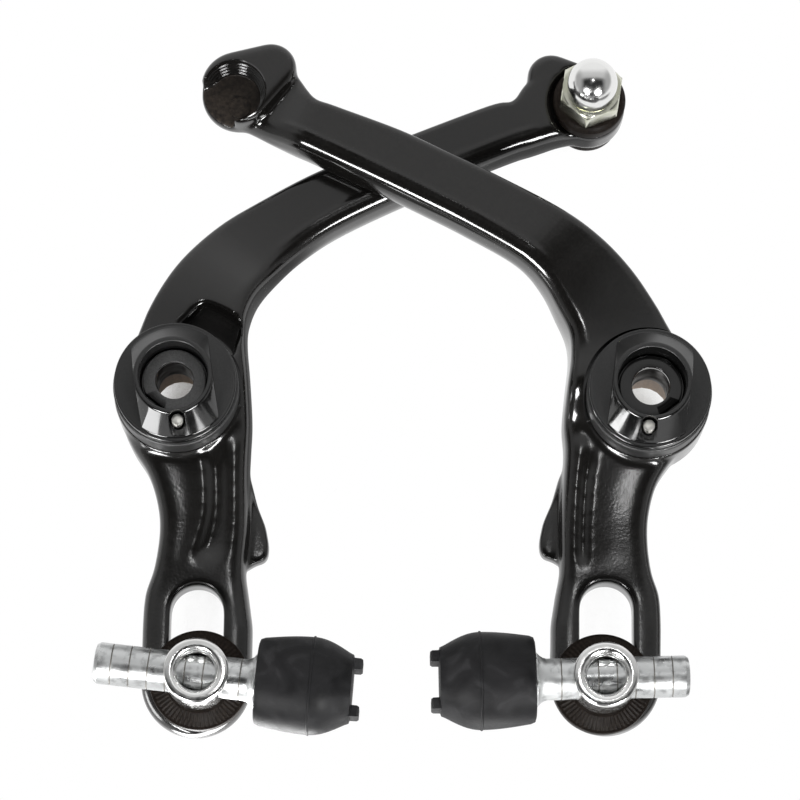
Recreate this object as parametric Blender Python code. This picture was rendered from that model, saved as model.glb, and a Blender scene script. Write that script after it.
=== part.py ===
"""Centre-pull U-brake for a bicycle: two cast arms that cross like scissors.

Seen from the front the brake lies in the XZ plane. +X is to the right, +Z up, and +Y points away
from the viewer, to the frame that carries the brake. The origin is midway between the two pivot
axes, on the plane where the pivot sleeves seat on the frame.

Pieces are drawn in the frame of their own side: u runs from the pivot inwards, z up, and d forwards
from the seat plane, towards the viewer. The left arm runs behind and the right arm in front.
"""
import math

import bmesh
import bpy
from mathutils import Matrix, Vector

MM = 0.001

# Clearances
FIT = 0.3 * MM            # between pieces that seat on each other
ARM_GAP = 0.8 * MM        # between the two beams where they cross

# Pivots, measured along d from the frame's seat plane
PIVOT_SPACING = 80.0 * MM
STUD_BORE = 9.0 * MM
SLEEVE_WALL = 1.3 * MM
SLEEVE_LENGTH = 11.3 * MM
PIVOT_WASHER_THICK = 1.0 * MM
PIVOT_WASHER_RADIUS = 9.5 * MM
BUSH_WALL = 0.6 * MM

# Boss of the arms, with the cup that holds the return spring
BOSS_WALL = 1.9 * MM      # round the cup
BOSS_FRONT = 12.0 * MM
CUP_FLOOR = 7.0 * MM
COVER_LENGTH = 4.8 * MM
COVER_STEP = 0.3 * MM     # of the cover inside the boss's edge, and of the flange inside the cover's
COVER_CHAMFER = 0.4 * MM
LEFT_SCOOP = 3.4 * MM     # how far the clearance round the left boss reaches past it
RIGHT_SCOOP = 0.7 * MM

# Return spring
WIRE = 2.0 * MM
SPRING_CORE_GAP = 0.5 * MM    # between the sleeve and the coil
SPRING_ROOM = 0.7 * MM    # between the coil and the cup's wall
SPRING_BEND = 1.3 * MM
TAIL_ANGLE = 60.0         # where the spring's rear leg goes into the arm, in degrees of (u, z)
TAIL_LENGTH = 3.2 * MM    # of that leg, past the cup's wall

# Adjuster nut
FLATS = 13.0 * MM
FLANGE_THICK = 1.8 * MM
FLANGE_CHAMFER = 0.3 * MM
FLANGE_LEDGE = 0.7 * MM   # of the flange round the cone's foot
CONE_HEIGHT = 5.2 * MM
HUB_WALL = 1.2 * MM
RECESS_RADIUS = 5.8 * MM
RECESS_DEPTH = 5.1 * MM
RECESS_DRAFT = 0.2 * MM
BOLT_HOLE = 6.4 * MM
ROLLED_WALL = 0.6 * MM
ROLLED_SEAM = 0.35 * MM
SEAT_WASHER_THICK = 0.9 * MM
SEAT_WASHER_FLAT = 4.7 * MM
PEG_CLEARANCE = 0.36 * MM
ADJUSTER_TURN = {"left": 9.0, "right": 6.5}
PEG_OFFSET = 2.5

# Beams
BEAM_REAR = 1.5 * MM
BEAM_THICK = 8.5 * MM
FRONT_EDGE = 1.7 * MM
REAR_EDGE = 1.0 * MM
LEG_THICK = 6.0 * MM
LEG_REAR = 3.0 * MM
LEG_END_RADIUS = 9.25 * MM
SLOT_WIDTH = 9.0 * MM
SLOT_TOP = {"left": -32.8 * MM, "right": -31.4 * MM}
SLOT_CENTRE = {"left": 4.05 * MM, "right": 6.8 * MM}
LEG_END_Z = {"left": -49.0 * MM, "right": -47.8 * MM}
SLOT_DROP = 1.0 * MM      # of the slot's lower end below the centre of the leg's round end
EAR_LIFT = {"left": 0.0, "right": 1.3 * MM}
EAR_REACH = {"left": 3.7 * MM, "right": 3.8 * MM}
EAR_THICK = 4.0 * MM
EAR_INDEX = -5          # row of the stations from whose inner edge the ear stands out

# Heads
HEAD_RADIUS = {"left": 6.4 * MM, "right": 6.5 * MM}
HEAD_CENTRE = {"left": (70.3 * MM, 53.4 * MM), "right": (70.6 * MM, 52.6 * MM)}
LOBE_CENTRE = {"left": (63.7 * MM, 58.2 * MM), "right": (65.0 * MM, 56.2 * MM)}
LOBE_RADIUS = {"left": 4.2 * MM, "right": 4.4 * MM}
LOBE_DROP = 0.1 * MM
POCKET_CENTRE = (71.2 * MM, 51.7 * MM)
POCKET_RADIUS = 5.3 * MM
POCKET_DEPTH = 5.0 * MM
POCKET_STEP = 1.0 * MM
POCKET_MOUTH_ANGLE = -42.0
ANCHOR_AT = (70.3 * MM, 53.4 * MM)
SPOT_RADIUS = 7.6 * MM    # of the face cut for the anchor's washer
SPOT_DEPTH = 1.8 * MM
M6_RADIUS = 2.95 * MM
M6_CLEARANCE = 0.35 * MM
M6_FLATS = 10.0 * MM
ACORN_HEX = 5.0 * MM
ACORN_TURN = 95.0
THREAD_PAST_HEX = 1.5 * MM
ACORN_HEIGHT = 12.0 * MM
DOME_RADIUS = 4.3 * MM
PINCH_RADIUS = 6.3 * MM
PINCH_THICK = 3.4 * MM
PINCH_CHAMFER = 0.9 * MM
ANCHOR_HEAD = 3.6 * MM
ANCHOR_FLANGE = 1.1 * MM
ANCHOR_FLANGE_RADIUS = 5.7 * MM

# Eye bolts, washers and nuts
EYE_OFFSET = 0.9 * MM     # how far inwards each eye bolt stands in its slot
EYE_Z = {"left": -49.3 * MM, "right": -49.1 * MM}
EYE_RADIUS = 5.4 * MM
EYE_EDGE = 1.7 * MM
EYE_HOLE = 3.15 * MM
EYE_SHOULDER = 2.0 * MM
SERRATED_RADIUS = 8.4 * MM
SERRATED_THICK = 3.3 * MM
SERRATED_BAND = 2.3 * MM
SERRATED_DISH = 0.9 * MM
TOOTH_COUNT = 28
TOOTH_HEIGHT = 0.4 * MM
REAR_WASHER_RADIUS = 7.0 * MM
REAR_WASHER_THICK = 1.5 * MM
REAR_NUT_HEIGHT = 5.0 * MM

# Brake pads and their posts
POST_DIAMETER = 6.9 * MM
POST_TILT = {"left": 6.0, "right": 2.0}
PAD_TILT = {"left": 4.2, "right": 2.0}
POST_FREE = {"left": 17.0 * MM, "right": 13.9 * MM}   # from the eye's axis to the post's free end
PAD_START = {"left": 9.9 * MM, "right": 11.5 * MM}    # from the eye's axis to the rubber
POST_FLARE = 1.0 * MM
POST_FLARE_LENGTH = 1.0 * MM
PLATE_RADIUS = 5.6 * MM
PLATE_THICK = 1.5 * MM
PLATE_DEPTH = 4.0 * MM
PAD_LENGTH = 15.9 * MM
PAD_END_RADIUS = 7.3 * MM
PAD_WAIST_RADIUS = 8.25 * MM
PAD_WAIST_AT = 0.57
PAD_FACE_RADIUS = 6.0 * MM
PAD_CORNER = 0.9 * MM
NUB_PITCH = 7.8 * MM
NUB_SIZE = 1.9 * MM
NUB_LENGTH = 1.4 * MM

# Sizes that follow
SLEEVE_RADIUS = STUD_BORE / 2 + SLEEVE_WALL
BUSH_INNER = SLEEVE_RADIUS + FIT
BUSH_OUTER = BUSH_INNER + BUSH_WALL
ARM_BORE = BUSH_OUTER + FIT
BOSS_REAR = PIVOT_WASHER_THICK + FIT
SPRING_RADIUS = SLEEVE_RADIUS + SPRING_CORE_GAP + WIRE / 2
CUP_RADIUS = SPRING_RADIUS + WIRE / 2 + SPRING_ROOM
BOSS_RADIUS = CUP_RADIUS + BOSS_WALL
COVER_RADIUS = BOSS_RADIUS - COVER_STEP
FLANGE_RADIUS = COVER_RADIUS - COVER_STEP
CONE_BASE = FLANGE_RADIUS - FLANGE_LEDGE
COIL_REAR = CUP_FLOOR + FIT + WIRE / 2
COVER_REAR = BOSS_FRONT + FIT
COVER_FRONT = COVER_REAR + COVER_LENGTH
FLANGE_REAR = COVER_FRONT + FIT
FLANGE_FRONT = FLANGE_REAR + FLANGE_THICK
ADJUSTER_FRONT = FLANGE_FRONT + CONE_HEIGHT
HUB_REAR = SLEEVE_LENGTH + FIT
RECESS_FLOOR = ADJUSTER_FRONT - RECESS_DEPTH
ROLLED_OUTER = BOLT_HOLE / 2 + ROLLED_WALL
ADJUSTER_BORE = ROLLED_OUTER + FIT
HUB_RADIUS = min(ADJUSTER_BORE + HUB_WALL, SPRING_RADIUS - WIRE / 2 - FIT)
PEG_HOLE = WIRE / 2 + PEG_CLEARANCE
BEAM_FRONT = BEAM_REAR + BEAM_THICK
RIGHT_REAR = BEAM_FRONT + ARM_GAP
RIGHT_FRONT = RIGHT_REAR + BEAM_THICK
LEG_FRONT = LEG_REAR + LEG_THICK
SERRATED_REAR = LEG_FRONT + FIT
SERRATED_FRONT = SERRATED_REAR + SERRATED_THICK
EYE_BASE = SERRATED_FRONT + FIT
EYE_BORE = POST_DIAMETER / 2 + FIT
EYE_CENTRE = EYE_BASE + EYE_SHOULDER + EYE_BORE - 0.6 * MM
EYE_FRONT = EYE_CENTRE + EYE_BORE + 1.0 * MM
REAR_WASHER_FRONT = LEG_REAR - FIT
REAR_NUT_FRONT = REAR_WASHER_FRONT - REAR_WASHER_THICK - FIT
SPOT_FLOOR = BEAM_FRONT - SPOT_DEPTH
PINCH_REAR = SPOT_FLOOR + FIT
ACORN_REAR = PINCH_REAR + PINCH_THICK + FIT

# Stations of the two castings, from the head's tip down to the foot, in millimetres: a point of the
# outer edge (u, z) and the point of the inner edge across from it.
LEFT_STATIONS = (
    ((76.6, 54.1), (76.7, 52.7)),
    ((74.8, 57.6), (75.4, 50.2)),
    ((70.0, 60.0), (72.2, 48.6)),
    ((64.2, 59.4), (68.0, 47.6)),
    ((59.3, 56.9), (64.6, 46.8)),
    ((57.0, 53.7), (60.6, 45.4)),
    ((52.8, 52.7), (56.1, 43.8)),
    ((37.6, 46.5), (41.4, 37.4)),
    ((23.3, 40.4), (27.9, 30.7)),
    ((12.8, 34.5), (20.8, 25.9)),
    ((6.3, 30.0), (16.2, 21.5)),
    ((0.6, 24.0), (13.0, 17.4)),
    ((-3.3, 18.1), (11.5, 13.3)),
    ((-6.4, 11.4), (11.3, 9.5)),
    ((-8.6, 4.0), (11.9, 3.2)),
    ((-9.6, -4.0), (12.4, -4.0)),
    ((-7.7, -9.2), (12.3, -9.2)),
    ((-4.9, -13.6), (12.2, -13.6)),
    ((-3.2, -18.6), (12.3, -18.6)),
    ((-2.7, -23.4), (12.3, -23.4)),
    ((-3.5, -29.6), (11.9, -29.6)),
    ((-4.9, -34.2), (12.5, -34.2)),
    ((-5.2, -39.6), (13.3, -39.6)),
)
RIGHT_STATIONS = (
    ((77.0, 53.1), (76.9, 51.9)),
    ((75.4, 56.3), (75.3, 49.4)),
    ((71.3, 58.2), (71.8, 47.3)),
    ((65.4, 58.6), (69.0, 46.1)),
    ((60.6, 55.4), (65.2, 44.2)),
    ((57.6, 50.9), (61.1, 42.2)),
    ((53.8, 49.3), (57.2, 40.5)),
    ((42.8, 45.2), (46.8, 35.6)),
    ((34.6, 41.4), (38.8, 31.7)),
    ((26.6, 37.6), (31.5, 28.0)),
    ((15.2, 31.6), (22.5, 22.8)),
    ((8.3, 26.9), (18.1, 18.9)),
    ((2.9, 21.4), (15.4, 14.5)),
    ((-1.4, 15.1), (13.5, 10.7)),
    ((-5.2, 8.4), (13.1, 6.8)),
    ((-8.4, 1.6), (13.7, 1.2)),
    ((-8.4, -4.4), (14.1, -4.4)),
    ((-5.4, -9.0), (13.8, -9.0)),
    ((-2.0, -14.0), (14.1, -14.0)),
    ((-0.5, -19.4), (14.4, -19.4)),
    ((-0.3, -24.2), (14.5, -24.2)),
    ((-1.0, -29.4), (14.5, -29.4)),
    ((-2.3, -33.4), (15.2, -33.4)),
    ((-2.6, -38.6), (16.0, -38.6)),
)

# Front and rear surface at the same stations. Down to the boss as a share of the way from the
# shoulder (0) to the beam (1), then as a share of the way from the boss (0) to the leg (1), where
# the front is also hollowed.
LEFT_RISE = (1, 1, 1, 1, 1, 1, 1, 1, 1, 1, 0.8, 0.3, 0.05, 0, 0)
RIGHT_RISE = (1, 1, 1, 1, 1, 1, 1, 1, 1, 1, 1, 0.62, 0.3, 0.1, 0, 0)
RIGHT_DIP = (0.0, 0.0, 0.4, 1.8, 1.8, 0.3)    # valley between the pocket's block and the beam, mm
FOOT_SHARE = (0.05, 0.18, 0.34, 0.5, 0.68, 0.88, 1.0, 1.0)
FOOT_HOLLOW = (0.0, 0.15, 0.6, 1.0, 1.0, 0.35, 0.0, 0.0)
LEFT_SHOULDER = 14.0 * MM     # front of the left shoulder, over the seat plane
RIGHT_SHOULDER = 16.4 * MM
HOLLOW_DEPTH = 2.2 * MM

# Facets
SPAN_TURN = 20.0
END_COUNT = 4
ROUND_COUNT = 32
HIDDEN_COUNT = 20
SMALL_COUNT = 16
WIRE_COUNT = 8
COIL_COUNT = 11
AXIS_MARK = 4.0 * MM      # drawn size of the empties on the axes

SIDES = ("left", "right")
SIGN = {"left": 1.0, "right": -1.0}


def clear_scene():
    for old in list(bpy.data.objects):
        bpy.data.objects.remove(old, do_unlink=True)


def material(name, colour, roughness, metallic):
    mat = bpy.data.materials.new(name)
    mat.use_nodes = True
    shader = mat.node_tree.nodes["Principled BSDF"]
    shader.inputs["Base Color"].default_value = (*colour, 1.0)
    shader.inputs["Roughness"].default_value = roughness
    shader.inputs["Metallic"].default_value = metallic
    return mat


def make_materials():
    return {
        "black_paint": material("black_paint", (0.012, 0.012, 0.013), 0.28, 0.0),
        "black_plastic": material("black_plastic", (0.02, 0.02, 0.021), 0.42, 0.0),
        "chrome": material("chrome", (0.72, 0.73, 0.74), 0.08, 1.0),
        "zinc": material("zinc", (0.62, 0.62, 0.56), 0.24, 1.0),
        "steel": material("steel", (0.55, 0.56, 0.57), 0.3, 1.0),
        "black_steel": material("black_steel", (0.03, 0.028, 0.028), 0.45, 0.6),
        "bronze": material("bronze", (0.35, 0.2, 0.09), 0.4, 1.0),
        "rubber": material("rubber", (0.02, 0.02, 0.02), 0.7, 0.0),
    }


def pivot_of(side):
    return Vector((-SIGN[side] * PIVOT_SPACING / 2, 0.0, 0.0))


def eye_at(side):
    """The crossing of eye bolt and pad post, in the side's own (u, d, z)."""
    return Vector((SLOT_CENTRE[side] + EYE_OFFSET, EYE_CENTRE, EYE_Z[side]))


def local(side, u, d, z):
    """A point of a side's own frame as a mesh coordinate about that side's pivot."""
    return Vector((SIGN[side] * u, -d, z))


def empty(name, location, parent=None):
    point = bpy.data.objects.new(name, None)
    point.empty_display_size = AXIS_MARK
    bpy.context.scene.collection.objects.link(point)
    point.parent = parent
    point.location = location
    return point


def finish_object(name, bm, parent, mat=None, smooth_angle=32.0):
    """Turn a bmesh into an object whose faces point outwards. The bmesh is drawn about the side's
    pivot, and the object's origin is its parent's, which stands on the piece's axis."""
    if parent.parent:
        bmesh.ops.translate(bm, verts=bm.verts, vec=-parent.location)
    bmesh.ops.remove_doubles(bm, verts=bm.verts, dist=1e-7)
    bmesh.ops.recalc_face_normals(bm, faces=bm.faces)
    mesh = bpy.data.meshes.new(name)
    bm.to_mesh(mesh)
    bm.free()
    mesh.shade_smooth()
    mesh.set_sharp_from_angle(angle=math.radians(smooth_angle))
    obj = bpy.data.objects.new(name, mesh)
    bpy.context.scene.collection.objects.link(obj)
    obj.parent = parent
    if mat is None:
        obj.hide_render = True
        obj.display_type = "WIRE"
    else:
        mesh.materials.append(mat)
    return obj


def boolean(obj, tool, operation):
    modifier = obj.modifiers.new(tool.name, "BOOLEAN")
    modifier.operation = operation
    modifier.solver = "EXACT"
    modifier.object = tool


def circle(radius, count, start=0.0):
    return [
        (radius * math.cos(start + 2 * math.pi * i / count),
         radius * math.sin(start + 2 * math.pi * i / count))
        for i in range(count)
    ]


def bridge(bm, rings, closed=False):
    """Skin rings of vertices. Closed joins the last ring to the first. A ring may be one point,
    or have twice the vertices of its neighbour."""
    pairs = list(zip(rings, rings[1:]))
    if closed:
        pairs.append((rings[-1], rings[0]))
    for near, far in pairs:
        if len(near) > len(far):
            near, far = far, near
        count = len(near)
        ratio = len(far) // count
        for i in range(len(far) if count == 1 else count):
            j = (i + 1) % count
            if count == 1:
                bm.faces.new((near[0], far[i], far[(i + 1) % len(far)]))
            elif ratio == 1:
                bm.faces.new((near[i], near[j], far[j], far[i]))
            else:
                middle, after = far[2 * i + 1], far[(2 * i + 2) % len(far)]
                bm.faces.new((near[i], middle, far[2 * i]))
                bm.faces.new((near[i], near[j], middle))
                bm.faces.new((near[j], after, middle))


def turned(profile, count, side="left", at=(0.0, 0.0), start=0.0):
    """A piece turned about an axis along d. The profile is a closed loop of (radius, d);
    a radius of zero is a point on the axis."""
    bm = bmesh.new()
    rings = []
    for radius, d in profile:
        if radius < 1e-9:
            rings.append([bm.verts.new(local(side, at[0], d, at[1]))])
            continue
        rings.append([
            bm.verts.new(local(side, at[0] + u, d, at[1] + z))
            for u, z in circle(radius, count, start)
        ])
    bridge(bm, rings, closed=len(rings[0]) > 1)
    return bm


def rod(side, radius, d_rear, d_front, count=SMALL_COUNT, at=(0.0, 0.0), start=0.0):
    """A plain solid cylinder along d."""
    profile = ((0.0, d_rear), (radius, d_rear), (radius, d_front), (0.0, d_front))
    return turned(profile, count, side, at, start)


def prism(side, outline, d_rear, d_front):
    """An outline in (u, z) drawn out along d."""
    bm = bmesh.new()
    rear = [bm.verts.new(local(side, u, d_rear, z)) for u, z in outline]
    front = [bm.verts.new(local(side, u, d_front, z)) for u, z in outline]
    bm.faces.new(rear)
    bm.faces.new(front)
    bridge(bm, [rear, front])
    return bm


def hexagon(flats, turn=0.0):
    corner = flats / 2 / math.cos(math.pi / 6)
    return circle(corner, 6, math.radians(turn))


def catmull(rows):
    """Points on the smooth curve through the rows, each row being a tuple of numbers. A span gets
    a second step where the curve turns enough."""
    fine = []
    last = len(rows) - 1
    for i in range(last):
        before, here = rows[max(i - 1, 0)], rows[i]
        after, beyond = rows[i + 1], rows[min(i + 2, last)]
        way = Vector(after[:4]) - Vector(here[:4])
        turn = max(way.angle(Vector(here[:4]) - Vector(before[:4]), 0.0),
                   way.angle(Vector(beyond[:4]) - Vector(after[:4]), 0.0))
        steps = 2 if turn > math.radians(SPAN_TURN) else 1
        for step in range(steps):
            t = step / steps
            fine.append(tuple(
                0.5 * (2 * b + (c - a) * t + (2 * a - 5 * b + 4 * c - d) * t * t
                       + (3 * b - a - 3 * c + d) * t ** 3)
                for a, b, c, d in zip(before, here, after, beyond)
            ))
    fine.append(rows[last])
    return fine


def arm_rows(side):
    """Stations as (outer u, outer z, inner u, inner z, front, rear, hollow) in metres."""
    left = side == "left"
    stations = LEFT_STATIONS if left else RIGHT_STATIONS
    rise = LEFT_RISE if left else RIGHT_RISE
    beam = (BEAM_FRONT, BEAM_REAR) if left else (RIGHT_FRONT, RIGHT_REAR)
    shoulder = LEFT_SHOULDER if left else RIGHT_SHOULDER
    rows = []
    for index, (outer, inner) in enumerate(stations):
        if index < len(rise):
            share = rise[index]
            front = shoulder + (beam[0] - shoulder) * share
            rear = BEAM_REAR + (beam[1] - BEAM_REAR) * share
            hollow = 0.0
        else:
            share = FOOT_SHARE[index - len(rise)]
            front = BOSS_FRONT + (LEG_FRONT - BOSS_FRONT) * share
            rear = BEAM_REAR + (LEG_REAR - BEAM_REAR) * share
            hollow = HOLLOW_DEPTH * FOOT_HOLLOW[index - len(rise)]
        if not left and index < len(RIGHT_DIP):
            front -= RIGHT_DIP[index] * MM
        rows.append((outer[0] * MM, outer[1] * MM, inner[0] * MM, inner[1] * MM,
                     front, rear, hollow))
    return rows


def foot_rows(side, template):
    """Stations that close the leg with a half circle."""
    rows = []
    for step in range(END_COUNT + 1):
        turn = math.radians(84.0) * step / END_COUNT
        z = LEG_END_Z[side] - LEG_END_RADIUS * math.sin(turn)
        half = LEG_END_RADIUS * math.cos(turn)
        rows.append((SLOT_CENTRE[side] - half, z, SLOT_CENTRE[side] + half, z)
                    + template[4:6] + (0.0,))
    return rows


def section(side, row):
    """The closed section at one station, from the rear outer edge round to the front."""
    outer = Vector(row[0:2])
    inner = Vector(row[2:4])
    front, rear, hollow = row[4:7]
    width = (inner - outer).length
    across = (inner - outer) / width
    front_edge = min(FRONT_EDGE, 0.42 * width)
    rear_edge = min(REAR_EDGE, 0.42 * width)
    floor = width - 2 * front_edge
    bulge = front_edge * (1 - math.sqrt(0.5))
    points = [
        (0.0, rear + rear_edge), (rear_edge, rear),
        (width - rear_edge, rear), (width, rear + rear_edge),
        (width, front - front_edge), (width - bulge, front - bulge), (width - front_edge, front),
        (front_edge + floor * 0.8, front - hollow), (front_edge + floor * 0.2, front - hollow),
        (front_edge, front), (bulge, front - bulge), (0.0, front - front_edge),
    ]
    return [local(side, outer.x + across.x * s, d, outer.y + across.y * s) for s, d in points]


def casting(side):
    """The arm's beam, shoulder and leg as one skin through its sections."""
    rows = catmull(arm_rows(side))
    rows += foot_rows(side, rows[-1])
    bm = bmesh.new()
    rings = [[bm.verts.new(point) for point in section(side, row)] for row in rows]
    bridge(bm, rings)
    bm.faces.new(rings[0])
    bm.faces.new(rings[-1])
    return bm


def ear_outline(side):
    """The stop that stands out from the inner edge of the leg."""
    stations = LEFT_STATIONS if side == "left" else RIGHT_STATIONS
    base = stations[EAR_INDEX][1][0] * MM
    shape = ((-0.8, -12.0), (0.05, -13.6), (0.4, -18.4), (0.8, -22.0), (0.97, -25.2),
             (0.95, -27.0), (0.75, -28.0), (0.35, -28.4), (0.05, -29.2), (-0.8, -30.6))
    return [(base + share * EAR_REACH[side], z * MM + EAR_LIFT[side]) for share, z in shape]


def slot_outline(side):
    """The slot for the eye bolt: two half circles and the straight walls between them."""
    radius = SLOT_WIDTH / 2
    centre = SLOT_CENTRE[side]
    top = SLOT_TOP[side] - radius
    half = SMALL_COUNT // 2
    outline = []
    for base, start in ((top, 0.0), (LEG_END_Z[side] - SLOT_DROP, math.pi)):
        for step in range(half + 1):
            angle = start + math.pi * step / half
            outline.append((centre + radius * math.cos(angle), base + radius * math.sin(angle)))
    return outline


def lobe(side, rear, front):
    """The head's raised end: a circle about its middle and a smaller one on its outer side, with
    the straight walls that touch both."""
    far = Vector(HEAD_CENTRE[side])
    near = Vector(LOBE_CENTRE[side])
    along = near - far
    heading = math.atan2(along.y, along.x)
    spread = math.acos((HEAD_RADIUS[side] - LOBE_RADIUS[side]) / along.length)
    levels = ((REAR_EDGE, rear), (0.0, rear + REAR_EDGE), (0.0, front - FRONT_EDGE),
              (0.3 * FRONT_EDGE, front - 0.3 * FRONT_EDGE), (FRONT_EDGE, front))
    bm = bmesh.new()
    rings = []
    for inset, d in levels:
        ring = []
        for centre, radius, first, last, steps in (
                (far, HEAD_RADIUS[side], heading + spread, heading + 2 * math.pi - spread, 7),
                (near, LOBE_RADIUS[side], heading - spread, heading + spread, 6)):
            for step in range(steps + 1):
                angle = first + (last - first) * step / steps
                ring.append(bm.verts.new(local(side, centre.x + (radius - inset) * math.cos(angle),
                                               d, centre.y + (radius - inset) * math.sin(angle))))
        rings.append(ring)
    bridge(bm, rings)
    bm.faces.new(rings[0])
    bm.faces.new(rings[-1])
    return bm


def pocket_mouth():
    """The side opening through which the cable's end barrel goes into its pocket."""
    centre = Vector(POCKET_CENTRE)
    angle = math.radians(POCKET_MOUTH_ANGLE)
    ahead = Vector((math.cos(angle), math.sin(angle)))
    across = Vector((-ahead.y, ahead.x)) * (POCKET_RADIUS * 0.86)
    far = centre + ahead * POCKET_RADIUS * 2.2
    return ((centre + across)[:], (far + across)[:], (far - across)[:], (centre - across)[:])


def make_arm(side, pivot, mats):
    arm = finish_object(f"arm_{side}", casting(side), pivot, mats["black_paint"])
    front = BEAM_FRONT if side == "left" else RIGHT_FRONT
    rear = BEAM_REAR if side == "left" else RIGHT_REAR
    deep = 2 * ADJUSTER_FRONT

    def tool(name, bm, operation):
        boolean(arm, finish_object(f"{name}_{side}_tool", bm, pivot), operation)

    tool("lobe", lobe(side, rear + LOBE_DROP, front - LOBE_DROP), "UNION")
    tool("ear", prism(side, ear_outline(side), LEG_REAR - 1.2 * MM,
                      LEG_REAR - 1.2 * MM + EAR_THICK), "UNION")
    scoop = LEFT_SCOOP if side == "left" else RIGHT_SCOOP
    scoop_floor = BOSS_FRONT - 0.45 * scoop
    scoop_profile = (
        (0.0, scoop_floor), (BOSS_RADIUS + 0.45 * scoop, scoop_floor),
        (BOSS_RADIUS + scoop, scoop_floor + 0.55 * scoop), (BOSS_RADIUS + scoop, deep), (0.0, deep),
    )
    tool("scoop", turned(scoop_profile, ROUND_COUNT, side), "DIFFERENCE")
    tool("boss", rod(side, BOSS_RADIUS, BOSS_REAR, BOSS_FRONT, ROUND_COUNT, start=0.03), "UNION")
    cup_profile = ((0.0, -deep), (ARM_BORE, -deep), (ARM_BORE, CUP_FLOOR), (CUP_RADIUS, CUP_FLOOR),
                   (CUP_RADIUS, deep), (0.0, deep))
    tool("cup", turned(cup_profile, ROUND_COUNT, side, start=0.03), "DIFFERENCE")
    tool("tail", tail_hole(side), "DIFFERENCE")
    tool("slot", prism(side, slot_outline(side), -deep, deep), "DIFFERENCE")
    if side == "left":
        bore = M6_RADIUS + M6_CLEARANCE
        seat = ((0.0, -deep), (bore, -deep), (bore, SPOT_FLOOR), (SPOT_RADIUS, SPOT_FLOOR),
                (SPOT_RADIUS, deep), (0.0, deep))
        tool("anchor_seat", turned(seat, HIDDEN_COUNT, side, ANCHOR_AT), "DIFFERENCE")
    else:
        floor = front - POCKET_DEPTH
        profile = (
            (0.0, floor), (POCKET_RADIUS - POCKET_STEP, floor),
            (POCKET_RADIUS - POCKET_STEP, floor + POCKET_STEP),
            (POCKET_RADIUS, floor + POCKET_STEP), (POCKET_RADIUS, deep), (0.0, deep),
        )
        tool("pocket", turned(profile, 28, side, POCKET_CENTRE), "DIFFERENCE")
        tool("mouth", prism(side, pocket_mouth(), floor + POCKET_STEP, deep), "DIFFERENCE")
    return arm


def spring_front_angle(side):
    """Where the spring's front leg stands in the adjuster, as an angle in (u, z)."""
    return math.radians(-90 + ADJUSTER_TURN[side] - PEG_OFFSET)


def tail_hole(side):
    """The blind hole in the cup's wall for the spring's rear leg."""
    angle = math.radians(TAIL_ANGLE)
    ahead = Vector((math.cos(angle), 0.0, math.sin(angle)))
    across = Vector((-ahead.z, 0.0, ahead.x))
    bm = bmesh.new()
    rings = []
    for reach in (CUP_RADIUS - 1.2 * MM, CUP_RADIUS + TAIL_LENGTH + FIT):
        centre = ahead * reach + Vector((0.0, COIL_REAR + 0.1 * MM, 0.0))
        ring = []
        for x, y in circle(PEG_HOLE, 10):
            point = centre + across * x + Vector((0.0, y, 0.0))
            ring.append(bm.verts.new(local(side, point.x, point.y, point.z)))
        rings.append(ring)
    bridge(bm, rings)
    bm.faces.new(rings[0])
    bm.faces.new(rings[1])
    return bm


def spring_path(side):
    """Centre line of the return spring, from the front leg's end to the rear leg's."""
    top = FLANGE_REAR - FIT - WIRE / 2
    bottom = COIL_REAR
    cone_share = (CONE_BASE - SPRING_RADIUS) / (CONE_BASE - FLATS / 2)
    tip = FLANGE_FRONT + CONE_HEIGHT * cone_share - 0.2 * MM
    start = spring_front_angle(side)
    end = math.radians(TAIL_ANGLE) - 6 * math.pi
    bend = SPRING_BEND / SPRING_RADIUS
    path = [(start, SPRING_RADIUS, tip)]
    for step in range(4):
        a = math.pi / 2 * step / 3
        path.append((start - bend * (1 - math.cos(a)), SPRING_RADIUS,
                     top + SPRING_BEND * (1 - math.sin(a))))
    first, last = start - bend, end + bend
    steps = round(abs(last - first) / (2 * math.pi) * COIL_COUNT)
    for step in range(1, steps + 1):
        share = step / steps
        path.append((first + (last - first) * share, SPRING_RADIUS, top + (bottom - top) * share))
    for step in range(1, 4):
        a = math.pi / 2 * step / 3
        path.append((last - bend * math.sin(a), SPRING_RADIUS + SPRING_BEND * (1 - math.cos(a)),
                     bottom))
    path.append((end, CUP_RADIUS + TAIL_LENGTH, bottom))
    return [local(side, radius * math.cos(a), d, radius * math.sin(a)) for a, radius, d in path]


def sweep(path, radius, count):
    """A round wire along a path, its section carried on without twist."""
    bm = bmesh.new()
    rings = []
    normal = (path[1] - path[0]).orthogonal().normalized()
    for index, point in enumerate(path):
        before = path[max(index - 1, 0)]
        after = path[min(index + 1, len(path) - 1)]
        tangent = (after - before).normalized()
        normal = (normal - tangent * normal.dot(tangent)).normalized()
        other = tangent.cross(normal)
        rings.append([bm.verts.new(point + normal * x + other * y)
                      for x, y in circle(radius, count)])
    bridge(bm, rings)
    bm.faces.new(rings[0])
    bm.faces.new(rings[-1])
    return bm


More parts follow.
